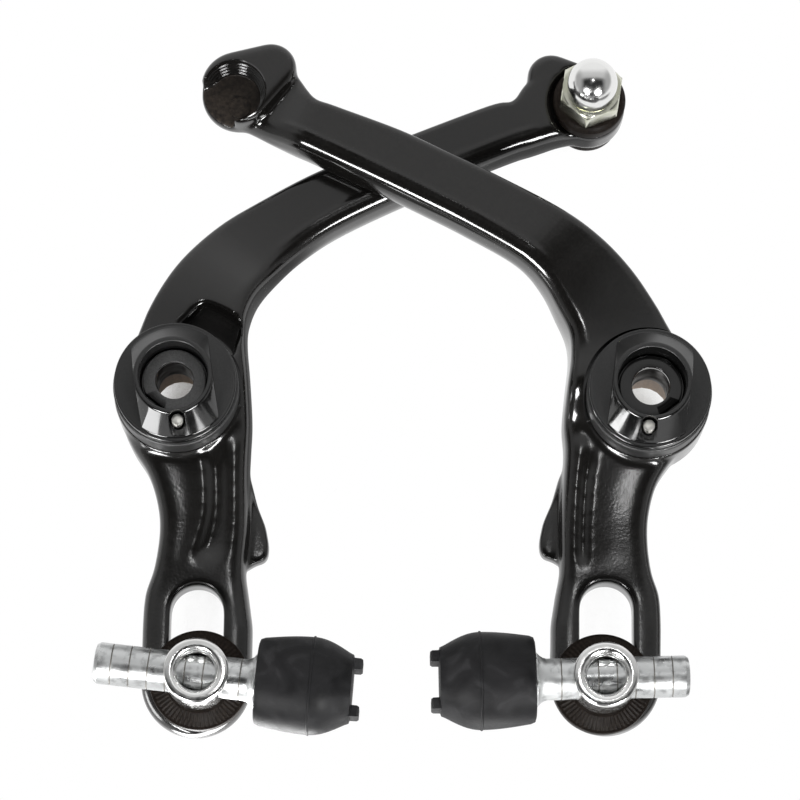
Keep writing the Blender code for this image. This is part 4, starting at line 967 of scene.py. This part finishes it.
def make_adjuster(side, mats):
    body = f"adjuster_{side}"
    rim = FLATS / 2 + 0.1 * MM
    bore = BOLT_HOLE / 2 + ROLLED_WALL + FIT
    profile = rounded((
        (bore, HUB_REAR, 0.1 * MM), (HUB_RADIUS, HUB_REAR, 0.1 * MM), (HUB_RADIUS, FLANGE_REAR, 0.1 * MM),
        (FLANGE_RADIUS, FLANGE_REAR, 0.2 * MM), (FLANGE_RADIUS, FLANGE_FRONT, 0.35 * MM),
        (CONE_BASE, FLANGE_FRONT, 0.25 * MM), (rim, ADJUSTER_FRONT, 0.45 * MM),
        (RECESS_RADIUS, ADJUSTER_FRONT, 0.3 * MM),
        (RECESS_RADIUS - RECESS_DRAFT, RECESS_FLOOR, 0.1 * MM), (bore, RECESS_FLOOR, 0.1 * MM),
    ))
    nut = make(f"turned_nut_{side}", lathe(profile, FINE_COUNT, about(side)),
               (mats["enamel"], mats["satin_and_sheen"]))
    turn = math.radians(ADJUSTER_TURN[side])
    far = FLANGE_RADIUS * 2
    for end in (-1, 1):
        outline = []
        for across, along in ((FLATS / 2, -far), (far, -far), (far, far), (FLATS / 2, far)):
            u = end * across
            outline.append((u * math.cos(turn) - along * math.sin(turn),
                            u * math.sin(turn) + along * math.cos(turn)))
        carve(nut, prism(side, outline, FLANGE_FRONT + 0.02 * MM, 2 * far))
    angle = spring_front_angle(side)
    peg = ((0.0, HUB_REAR), (PEG_HOLE, HUB_REAR), (PEG_HOLE, 2 * far), (0.0, 2 * far))
    carve(nut, lathe(peg, 32, about(side, (SPRING_RADIUS * math.cos(angle),
                                           SPRING_RADIUS * math.sin(angle)))))
    edge_break(nut, 0.14 * MM)
    # The front annulus and the cone's upper half take the lighter, rougher black: on the annulus it is the
    # turned face's finish, on the cone's top it is painted sheen for the soft light it reflects from above.
    for face in nut.data.polygons:
        u, d, z = to_side(side, face.center)
        front_side = -face.normal.y > 0.3 and d > FLANGE_FRONT - 0.2 * MM
        flat = front_side and (-face.normal.y > 0.97 or z > 2 * MM)
        face.material_index = 1 if flat and math.hypot(u, z) > RECESS_RADIUS else 0
    dress(nut, body, f"adjuster_nut_{side}")

    seat_rear = RECESS_FLOOR + FIT
    seat_radius = RECESS_RADIUS - RECESS_DRAFT - FIT
    # Painted light: the left seat washer gets a far lighter colour than the right one's dark enamel, standing
    # in for the light that falls into its recess.
    seat = make(f"bolt_seat_{side}", lathe(rounded((
        (BOLT_HOLE / 2, seat_rear, 0.05 * MM), (seat_radius, seat_rear, 0.05 * MM),
        (seat_radius, seat_rear + SEAT_THICK, 0.2 * MM),
        (BOLT_HOLE / 2, seat_rear + SEAT_THICK, 0.15 * MM))), FINE_COUNT, about(side)),
                (mats["seat" if side == "left" else "enamel"],))
    chord = math.radians(-52)
    outline = []
    for ahead, aside in ((SEAT_FLAT, -far), (far, -far), (far, far), (SEAT_FLAT, far)):
        outline.append((-ahead * math.cos(chord) - aside * math.sin(chord),
                        ahead * math.sin(chord) - aside * math.cos(chord)))
    carve(seat, prism(side, outline, 0.0, 2 * far))
    dress(seat, body, f"seat_washer_{side}")

    seam = ROLLED_SEAM / (BOLT_HOLE / 2 + ROLLED_WALL)
    outline = []
    for radius, steps in ((BOLT_HOLE / 2 + ROLLED_WALL, range(73)), (BOLT_HOLE / 2, range(72, -1, -1))):
        for step in steps:
            turn = math.radians(184) + seam / 2 + (2 * math.pi - seam) * step / 72
            outline.append((radius * math.cos(turn), radius * math.sin(turn)))
    roll = make(f"rolled_bush_{side}", prism(side, outline, HUB_REAR, RECESS_FLOOR), (mats["bush"],))
    dress(roll, body, f"bolt_bush_{side}")

    coil = make(f"torsion_spring_{side}", wire(spring_path(side), WIRE / 2, 16), (mats["spring"],))
    dress(coil, body, f"return_spring_{side}")

    cover = make(f"cover_ring_{side}", lathe(rounded((
        (CUP_RADIUS, BOSS_FRONT + FIT, 0.1 * MM), (COVER_RADIUS, BOSS_FRONT + FIT, 0.15 * MM),
        (COVER_RADIUS, COVER_FRONT, 0.45 * MM), (CUP_RADIUS, COVER_FRONT, 0.1 * MM))),
        FINE_COUNT, about(side)), (mats["plastic"],))
    dress(cover, f"arm_{side}", f"spring_cover_{side}")


# The pads and their clamps

def post_frame(side, reach):
    tilt = math.radians(POST_TILT[side])
    centre = eye_at(side)
    bend = PAD_START[side] - FIT
    centre += Vector((math.cos(tilt), 0.0, -math.sin(tilt))) * min(reach, bend)
    if reach >= bend:
        tilt = math.radians(PAD_TILT[side])
        centre += Vector((math.cos(tilt), 0.0, -math.sin(tilt))) * (reach - bend)
    return centre, Vector((math.sin(tilt), 0.0, math.cos(tilt)))


def along_post(side):
    """The pad's axis: x is forward, y up, and the distance runs inwards from the eye."""
    def at(x, y, reach):
        centre, up = post_frame(side, reach)
        point = centre + Vector((0.0, x, 0.0)) + up * y
        return place(side, point.x, point.y, point.z)
    return at


def serrated_washer(side, at):
    rim = SERRATED_RADIUS
    slope = SERRATED_FRONT - SERRATED_DISH
    inner = rim - 0.4 * MM - SERRATED_BAND
    rows = [(r, d, False) for r, d in rounded((
        (M6_BORE, SERRATED_REAR, 0.1 * MM), (rim, SERRATED_REAR, 0.3 * MM),
        (rim, slope, 0.45 * MM)))]
    rows += [(rim - 0.55 * MM, slope, True), (inner + 0.15 * MM, SERRATED_FRONT - 0.05 * MM, True),
             (inner, SERRATED_FRONT, False), (M6_BORE, SERRATED_FRONT, False)]
    rings = []
    count = TOOTH_COUNT * 4
    for radius, d, toothed in rows:
        ring = []
        for index, (u, z) in enumerate(circle(radius, count)):
            drop = (0.0, 0.55, 1.0, 0.55)[index % 4] * TOOTH_HEIGHT if toothed else 0.0
            ring.append(place(side, at[0] + u, d - drop, at[1] + z))
        rings.append(ring)
    return loft(rings, closed=True)


def hexagon_outline(side, at, flats, limit, d, turn=0.0):
    """A hexagon's outline, cut back to a circle of the limit's radius."""
    ring = []
    for index, (u, z) in enumerate(circle(1.0, FINE_COUNT, turn)):
        off = (index % 16) * 2 * math.pi / FINE_COUNT - math.pi / 6
        reach = min(flats / 2 / math.cos(off), limit)
        ring.append(place(side, at[0] + u * reach, d, at[1] + z * reach))
    return ring


def to_corner(flats, share):
    """A radius between a hexagon's flats and its corners."""
    return flats / 2 + (flats / 2 / math.cos(math.pi / 6) - flats / 2) * share


def hexagon_ring(side, at, bore, flats, d_rear, d_front, chamfer):
    """A hexagon nut with both ends chamfered by a cone."""
    shares = (0.0, 0.25, 0.5, 0.75, 1.0)
    levels = [(bore, d_rear), (flats / 2 - 0.1 * MM, d_rear)]
    levels += [(to_corner(flats, share), d_rear + chamfer * share) for share in shares]
    levels += [(to_corner(flats, share), d_front - chamfer * share) for share in shares[::-1]]
    levels += [(flats / 2 - 0.1 * MM, d_front), (bore, d_front)]
    return loft([hexagon_outline(side, at, flats, limit, d) for limit, d in levels], closed=True)


def make_clamp(side, mats):
    centre = eye_at(side)
    at = (centre.x, centre.z)
    tail = REAR_NUT_FRONT - REAR_NUT_HEIGHT - 0.6 * MM
    profile = [(0.0, tail, 0), (M6_RADIUS, tail, 0.5 * MM), (M6_RADIUS, EYE_BASE, 0.1 * MM),
               (EYE_RADIUS - 1.0 * MM, EYE_BASE, 0.3 * MM), (EYE_RADIUS, EYE_BASE + 1.0 * MM, 0.6 * MM),
               (EYE_RADIUS, EYE_FRONT - 0.05 * MM, 2.3 * MM),
               (EYE_HOLE + 0.75 * MM, EYE_FRONT + 0.05 * MM, 1.4 * MM),
               (EYE_HOLE, EYE_FRONT - 0.9 * MM, 1.2 * MM), (EYE_HOLE, EYE_CENTRE, 0), (0.0, EYE_CENTRE, 0)]
    eye = make(f"polished_eye_{side}", lathe(rounded(profile, 10), FINE_COUNT, about(side, at)),
               (mats["eye"],))
    reach = 2 * EYE_RADIUS
    tunnel = ((0.0, -reach), (EYE_BORE, -reach), (EYE_BORE, reach), (0.0, reach))
    carve(eye, lathe(tunnel, 64, along_post(side)))
    edge_break(eye, 0.12 * MM, 55.0)
    dress(eye, f"eye_{side}", f"eye_bolt_{side}")

    washer = make(f"toothed_washer_{side}", serrated_washer(side, at), (mats["oxide"],))
    dress(washer, f"clamp_{side}", f"serrated_washer_{side}")
    rear = REAR_WASHER_FRONT - REAR_WASHER_THICK
    plain = make(f"plain_washer_{side}", lathe(rounded((
        (M6_BORE, rear, 0.1 * MM), (REAR_WASHER_RADIUS, rear, 0.25 * MM),
        (REAR_WASHER_RADIUS, REAR_WASHER_FRONT, 0.1 * MM), (M6_BORE, REAR_WASHER_FRONT, 0.1 * MM))),
        72, about(side, at)), (mats["steel"],))
    dress(plain, f"clamp_{side}", f"rear_washer_{side}")
    nut = make(f"hexagon_nut_{side}", hexagon_ring(side, at, M6_BORE, M6_FLATS,
                                                   REAR_NUT_FRONT - REAR_NUT_HEIGHT, REAR_NUT_FRONT,
                                                   0.35 * MM), (mats["zinc"],))
    dress(nut, f"eye_{side}", f"rear_nut_{side}")


def ring_groove(reach):
    """The four points of one scribed ring on the post."""
    radius = POST_DIAMETER / 2
    return [(radius, reach - RING_HALF), (radius - RING_DEPTH, reach - 0.3 * RING_HALF),
            (radius - RING_DEPTH, reach + 0.3 * RING_HALF), (radius, reach + RING_HALF)]


def make_pad(side, mats):
    start = PAD_START[side]
    radius = POST_DIAMETER / 2
    plate_near = start + 4.0 * MM
    free = -POST_FREE[side]
    profile = [(0.0, free), (radius - 0.9 * MM, free), (radius - 0.35 * MM, free + 0.15 * MM),
               (radius, free + 0.7 * MM)]
    reach = free + RING_PITCH * 0.95
    while reach < start - 2.2 * MM:
        profile += ring_groove(reach)
        reach += RING_PITCH
    profile += [(radius, start - 1.9 * MM), (radius + 0.15 * MM, start - 1.3 * MM),
                (radius + 0.5 * MM, start - 0.75 * MM), (radius + 1.0 * MM, start - FIT),
                (radius + 1.0 * MM, plate_near - FIT), (radius - 0.9 * MM, plate_near - FIT),
                (radius - 0.9 * MM, plate_near + 1.5 * MM), (0.0, plate_near + 1.5 * MM)]
    post = make(f"scribed_post_{side}", lathe(profile, FINE_COUNT, along_post(side)),
                (mats["post"], mats["groove_grime_and_shade"]), 28.0)
    first = along_post(side)(0.0, 0.0, 0.0)
    way = (along_post(side)(0.0, 0.0, -1.0 * MM) - first).normalized()
    # The faces in the scribed rings take a darker steel: grime in the grooves, and painted shade there as
    # well.
    for face in post.data.polygons:
        away = face.center - first
        off_axis = (away - way * away.dot(way)).length
        groove = radius - RING_DEPTH * 1.2 < off_axis < radius - RING_DEPTH * 0.4
        face.material_index = 1 if groove and away.dot(way) > -PAD_START[side] + 2 * MM else 0
    dress(post, f"pad_{side}", f"pad_post_{side}")

    face = start + PAD_LENGTH
    waist = start + PAD_LENGTH * PAD_WAIST_AT
    widest = PAD_WAIST_RADIUS - PAD_FLASH
    outline = [(PAD_END_RADIUS - 0.9 * MM, start), (PAD_END_RADIUS - 0.3 * MM, start + 0.2 * MM),
               (PAD_END_RADIUS, start + 0.9 * MM)]
    for step in range(1, 12):
        share = step / 12
        bulge = math.sin(share * math.pi / 2)
        outline.append((PAD_END_RADIUS + (widest - PAD_END_RADIUS) * bulge,
                        start + 0.9 * MM + (waist - start - 0.9 * MM) * share))
    outline += [(widest, waist - 0.25 * MM), (PAD_WAIST_RADIUS, waist - 0.12 * MM),
                (PAD_WAIST_RADIUS, waist + 0.12 * MM), (widest, waist + 0.25 * MM)]
    for step in range(1, 12):
        share = step / 12
        fall = 1 - math.cos(share * math.pi / 2)
        outline.append((widest - (widest - PAD_FACE_RADIUS) * fall,
                        waist + (face - waist - 0.9 * MM) * share))
    outline += [(PAD_FACE_RADIUS, face - 0.9 * MM), (PAD_FACE_RADIUS - 0.3 * MM, face - 0.2 * MM),
                (PAD_FACE_RADIUS - 0.9 * MM, face)]
    neck = radius + 1.0 * MM + FIT
    near, far = plate_near - FIT, plate_near + 1.5 * MM + FIT
    wide = 5.6 * MM + FIT
    pocket = [(0.0, far), (wide, far), (wide, near), (neck, near), (neck, start)]
    rubber_pad = make(f"rubber_block_{side}", lathe([(0.0, face)] + outline[::-1] + pocket[::-1],
                                                    FINE_COUNT, along_post(side)), (mats["rubber"],))
    at = along_post(side)
    half_run = math.sqrt((PAD_FACE_RADIUS - 0.9 * MM) ** 2 - (NUB_PITCH / 2) ** 2)
    for lift in (-NUB_PITCH / 2, NUB_PITCH / 2):
        rings = []
        for reach, size in ((face - 1.0 * MM, 1.0), (face + 0.75 * NUB_LENGTH, 0.96),
                            (face + NUB_LENGTH, 0.8)):
            ring = []
            for x, y in ((-1, -1), (1, -1), (1, 1), (-1, 1)):
                ring.append(at(x * half_run * size, lift + y * NUB_SIZE / 2 * size, reach))
            rings.append(ring)
        carve(rubber_pad, loft(rings), "UNION")
    rubber_pad.data.set_sharp_from_angle(angle=math.radians(35.0))
    dress(rubber_pad, f"pad_{side}", f"pad_rubber_{side}")


def make_anchor(mats):
    side = "left"
    at = about(side, ANCHOR_AT)
    head_front = BEAM_REAR - FIT
    tip = ACORN_REAR + ACORN_HEX + 1.5 * MM
    flange_rear = head_front - 2.2 * ANCHOR_FLANGE
    shank = rounded(((0.0, flange_rear, 0), (ANCHOR_FLANGE_RADIUS, flange_rear, 0.7 * MM),
                     (ANCHOR_FLANGE_RADIUS, head_front, 0.3 * MM), (M6_RADIUS, head_front, 0),
                     (M6_RADIUS, tip, 0.5 * MM), (0.0, tip, 0)))
    bolt = make("cable_bolt", lathe(shank, 72, at), (mats["oxide"],))
    carve(bolt, hexagon_ring(side, ANCHOR_AT, 0.5 * MM, 0.8 * M6_FLATS, head_front - ANCHOR_HEAD,
                             flange_rear + 0.1 * MM, 0.35 * MM), "UNION")
    dress(bolt, "arm_left", "anchor_bolt")
    front = PINCH_REAR + PINCH_THICK
    pinch = make("cable_washer", lathe(rounded((
        (M6_BORE, PINCH_REAR, 0.1 * MM), (PINCH_RADIUS, PINCH_REAR, 0.2 * MM),
        (PINCH_RADIUS, front - 0.9 * MM, 0.4 * MM), (PINCH_RADIUS - 0.9 * MM, front, 0.4 * MM),
        (M6_BORE, front, 0.1 * MM))), FINE_COUNT, at), (mats["oxide"],))
    dress(pinch, "arm_left", "pinch_washer")

    hex_front = ACORN_REAR + ACORN_HEX
    crown = ACORN_REAR + ACORN_HEIGHT
    body = [(0.0, ACORN_REAR + 1.0 * MM), (DOME_RADIUS - 0.6 * MM, ACORN_REAR + 1.0 * MM),
            (DOME_RADIUS - 0.6 * MM, hex_front - 0.2 * MM), (DOME_RADIUS, hex_front + 0.25 * MM),
            (DOME_RADIUS, hex_front + 0.6 * MM)]
    for step in range(20):
        angle = math.pi / 2 * step / 20
        body.append((DOME_RADIUS * math.cos(angle), crown - DOME_RADIUS * (1 - math.sin(angle))))
    body.append((0.0, crown))
    dome = make("acorn_dome", lathe(body, FINE_COUNT, at), (mats["chrome"], mats["zinc"]), 40.0)
    turn = math.radians(ACORN_TURN)
    rings = []
    for share, d in ((0.55, ACORN_REAR), (1.0, ACORN_REAR + 0.3 * MM), (1.0, hex_front - 0.75 * MM),
                     (0.66, hex_front - 0.5 * MM), (0.33, hex_front - 0.25 * MM), (0.0, hex_front),
                     (-0.25, hex_front + 0.02 * MM)):
        rings.append(hexagon_outline(side, ANCHOR_AT, M6_FLATS, to_corner(M6_FLATS, share), d, turn))
    carve(dome, loft(rings), "UNION")
    thread = ((0.0, ACORN_REAR - 1 * MM), (M6_BORE, ACORN_REAR - 1 * MM), (M6_BORE, tip + 1 * MM),
              (0.0, tip + 1 * MM))
    carve(dome, lathe(thread, 32, at))
    for face in dome.data.polygons:
        u, d, z = to_side(side, face.center)
        off_axis = math.hypot(u - ANCHOR_AT[0], z - ANCHOR_AT[1])
        face.material_index = 1 if d < hex_front + 0.2 * MM or off_axis < M6_BORE * 0.99 and d < tip else 0
    dome.data.set_sharp_from_angle(angle=math.radians(40.0))
    dress(dome, "arm_left", "acorn_nut")


def finish_cad_nodes(mats):
    """The CAD's own bushes, sleeves and washers keep their shape and get a better material."""
    looks = {"pivot_sleeve": "bronze", "bearing_bush": "bronze", "pivot_washer": "steel",
             "pad_plate": "steel"}
    for piece, look in looks.items():
        for side in SIDES:
            obj = bpy.data.objects[f"{piece}_{side}"]
            for slot in obj.material_slots:
                slot.material = mats[look]


# Light, table and camera

def world_light():
    """A pale sky, a dark room in front, and the pale table behind."""
    world = bpy.data.worlds.new("studio")
    bpy.context.scene.world = world
    world.use_nodes = True
    tree = world.node_tree
    across, depth, lift = xyz(tree, "Generated")
    room = ramp(tree, map_range(tree, lift, -1.0, 1.0),
                ((0.0, 0.04), (0.45, 0.02), (0.52, 0.1), (0.6, 0.55), (0.75, 0.65), (0.9, 0.95)))
    width = node(tree, "Math", "Value", ((0, across),), operation="ABSOLUTE")
    room = mix(tree, map_range(tree, width, 0.62, 0.92, kind="SMOOTHSTEP"), room, grey(0.42))
    room = mix(tree, map_range(tree, depth, -0.15, 0.15), room, grey(0.9))
    seen = mix(tree, node(tree, "LightPath", "Is Camera Ray"), room, grey(1.0))
    tree.links.new(seen, tree.nodes["Background"].inputs["Color"])


def area_light(name, direction, distance, size, power, tall=None, mirrored=True):
    """A soft light in a direction from the brake, turned towards it."""
    data = bpy.data.lights.new(name, "AREA")
    data.energy = power
    data.shape = "RECTANGLE"
    data.size = size
    data.size_y = tall or size
    lamp = bpy.data.objects.new(name, data)
    bpy.context.scene.collection.objects.link(lamp)
    way = Vector(direction).normalized()
    lamp.location = way * distance + Vector((0.0, -0.01, 0.0))
    lamp.rotation_mode = "QUATERNION"
    lamp.rotation_quaternion = way.to_track_quat("Z", "Y")
    lamp.visible_glossy = mirrored
    lamp.visible_camera = False


def low_light(name, at, size, power):
    """A small pane near the table below the brake, as (x, z), which shows in the adjusters' cones."""
    place_at = Vector((at[0] * MM, TABLE_Y - 2 * MM, at[1] * MM))
    area_light(name, place_at - Vector((0.0, -0.01, 0.0)), 1.0, size, power)
    bpy.data.objects[name].location = place_at


def patch(tree, position, centre, radii, soft=0.4):
    """1 inside an ellipse of the table, as (x, z), and 0 outside it."""
    shift = node(tree, "VectorMath", "Vector",
                 ((0, position), (1, (centre[0] * MM, 0.0, centre[1] * MM))), operation="SUBTRACT")
    scale = node(tree, "VectorMath", "Vector",
                 ((0, shift), (1, (radii[0] * MM, 1.0e6, radii[1] * MM))), operation="DIVIDE")
    size = node(tree, "VectorMath", "Value", ((0, scale),), operation="LENGTH")
    return map_range(tree, size, 1.0 + soft / 2, 1.0 - soft / 2, kind="SMOOTHSTEP")


def table():
    """The pale plane behind the brake. The camera sees it glow white, with the brake's contact shadow painted
    in from ambient occlusion, brown on the left and grey on the right; it is seen from the front only, so
    that views from behind look through it."""
    bm = bmesh.new()
    bmesh.ops.create_grid(bm, x_segments=1, y_segments=1, size=1.6)
    bmesh.ops.rotate(bm, verts=bm.verts, cent=(0, 0, 0), matrix=Matrix.Rotation(math.pi / 2, 3, "X"))
    bmesh.ops.translate(bm, verts=bm.verts, vec=(0.0, TABLE_Y, 0.0))
    mesh = bpy.data.meshes.new("pale_table")
    bm.to_mesh(mesh)
    bm.free()
    plane = bpy.data.objects.new("pale_table", mesh)
    bpy.context.scene.collection.objects.link(plane)
    mat = bpy.data.materials.new("pale_table")
    mat.use_nodes = True
    tree = mat.node_tree
    shader = tree.nodes["Principled BSDF"]
    shader.inputs["Base Color"].default_value = (0.9, 0.9, 0.9, 1.0)
    shader.inputs["Roughness"].default_value = 0.9
    position = node(tree, "TexCoord", "Object")
    contact = node(tree, "AmbientOcclusion", "AO", (("Distance", 0.02),), samples=24)
    shadow = mix(tree, patch(tree, position, (100.0, 0.0), (80.0, 200.0)), (*CONTACT_BROWN, 1.0),
                 (*CONTACT_GREY, 1.0))
    open_air = mix(tree, ramp(tree, contact, ((0.22, 0.0), (0.36, 1.0))), shadow, grey(1.0))
    # Painted shade in reflections: glossy rays see the table darker inside these ellipses.
    mirrored = grey(1.0)
    for centre, radii, level in SHADES:
        mirrored = mix(tree, patch(tree, position, centre, radii), mirrored, grey(level))
    paths = node(tree, "LightPath", "Is Camera Ray").node.outputs
    glow = node(tree, "Emission", "Emission",
                (("Color", mix(tree, paths["Is Camera Ray"], mirrored, open_air)),))
    direct = node(tree, "Math", "Value", ((0, paths["Is Camera Ray"]), (1, paths["Is Glossy Ray"])),
                  operation="MAXIMUM")
    shown = node(tree, "MixShader", "Shader", ((0, direct), (1, shader.outputs["BSDF"]), (2, glow)))
    clear = node(tree, "BsdfTransparent", "BSDF")
    behind = node(tree, "NewGeometry", "Backfacing")
    sides = node(tree, "MixShader", "Shader", ((0, behind), (1, shown), (2, clear)))
    tree.links.new(sides, tree.nodes["Material Output"].inputs["Surface"])
    mesh.materials.append(mat)


def camera():
    turn = math.radians(ELEVATION)
    ahead = Vector((0.0, math.cos(turn), -math.sin(turn)))
    up = Vector((0.0, math.sin(turn), math.cos(turn)))
    right = Vector((1.0, 0.0, 0.0))
    roll = math.radians(ROLL)
    side_way = right * math.cos(roll) + up * math.sin(roll)
    up_way = up * math.cos(roll) - right * math.sin(roll)
    data = bpy.data.cameras.new("photo_camera")
    data.sensor_width = 36.0
    data.lens = FOCAL * data.sensor_width
    data.clip_start = 0.01
    data.clip_end = 10.0
    obj = bpy.data.objects.new("photo_camera", data)
    bpy.context.scene.collection.objects.link(obj)
    matrix = Matrix((side_way, up_way, -ahead)).transposed().to_4x4()
    matrix.translation = LOOK_AT - ahead * DISTANCE
    obj.matrix_world = matrix
    bpy.context.scene.camera = obj


def main():
    bpy.context.scene.view_settings.view_transform = "Standard"
    camera()
    world_light()
    area_light("window_left", (-0.43, -0.46, -0.78), 0.6, 0.15, 4.0, 0.22)
    area_light("window_right", (0.43, -0.46, -0.78), 0.6, 0.15, 4.0, 0.22)
    area_light("overhead", (0.05, -0.72, 0.69), 0.9, 0.5, 8.0, mirrored=False)
    area_light("near_camera", (0.04, -0.99, 0.02), 0.6, 0.035, 0.14)
    low_light("low_left", (-84.0, -68.0), 0.034, 0.034)
    low_light("low_middle", (-26.0, -66.0), 0.026, 0.028)
    low_light("low_right", (12.0, -82.0), 0.022, 0.012)
    table()
    mats = {
        "paint": black_paint(),
        "enamel": black_enamel(),
        "plastic": satin_black("spring_cover_look", 1.5),
        # the turned face's finish, and painted sheen on the adjuster cone's top
        "satin_and_sheen": satin_black(),
        # painted light: the seat washer's colour is lifted fivefold
        "seat": satin_black("seat_washer_look", 5.0),
        # grime and painted shade in the posts' scribed rings
        "groove_grime_and_shade": steel("grime_look", (0.34, 0.33, 0.31), 0.45),
        "chrome": chrome("chrome_look", 1.6, 0.26),
        "eye": chrome("eye_look", 1.9, 0.3),
        "bare": grained("bare_casting_look", (0.02, 0.016, 0.013), 0.55, (1500.0, 5.0, 0.7, 0.00012),
                        ((0.3, (0.004, 0.003, 0.0025)), (0.72, (0.022, 0.017, 0.013))), ior=1.3),
        "zinc": grained("zinc_look", (0.66, 0.66, 0.55), 0.24, (420.0, 5.0, 0.3, 0.00005),
                        ((0.3, (0.56, 0.57, 0.44)), (0.7, (0.74, 0.74, 0.66))), metallic=1.0),
        "oxide": grained("black_oxide_look", (0.008, 0.0065, 0.006), 0.4, (2400.0, 4.0, 0.4, 0.00003),
                         ((0.3, (0.005, 0.004, 0.0035)), (0.75, (0.013, 0.010, 0.008))), ior=1.12),
        "bronze": grained("bronze_look", (0.16, 0.095, 0.045), 0.45, (1800.0, 4.0, 0.3, 0.00003),
                          ((0.3, (0.11, 0.065, 0.03)), (0.7, (0.2, 0.12, 0.06))), metallic=0.7),
        "rubber": rubber(),
        "steel": steel("steel_look", (0.6, 0.6, 0.61), 0.3),
        # painted shade: the rolled bush's steel is darkened nearly to black for the shade deep in the bore
        "bush": steel("bush_look", (0.035, 0.032, 0.03), 0.5, (1, 0.1, 1)),
        "spring": steel("spring_look", (0.86, 0.85, 0.8), 0.3),
        "post": steel("post_look", (0.6, 0.61, 0.61), 0.32, (0.12, 1, 1)),
    }
    for side in SIDES:
        make_arm(side, mats)
        make_adjuster(side, mats)
        make_clamp(side, mats)
        make_pad(side, mats)
    make_anchor(mats)
    finish_cad_nodes(mats)


main()
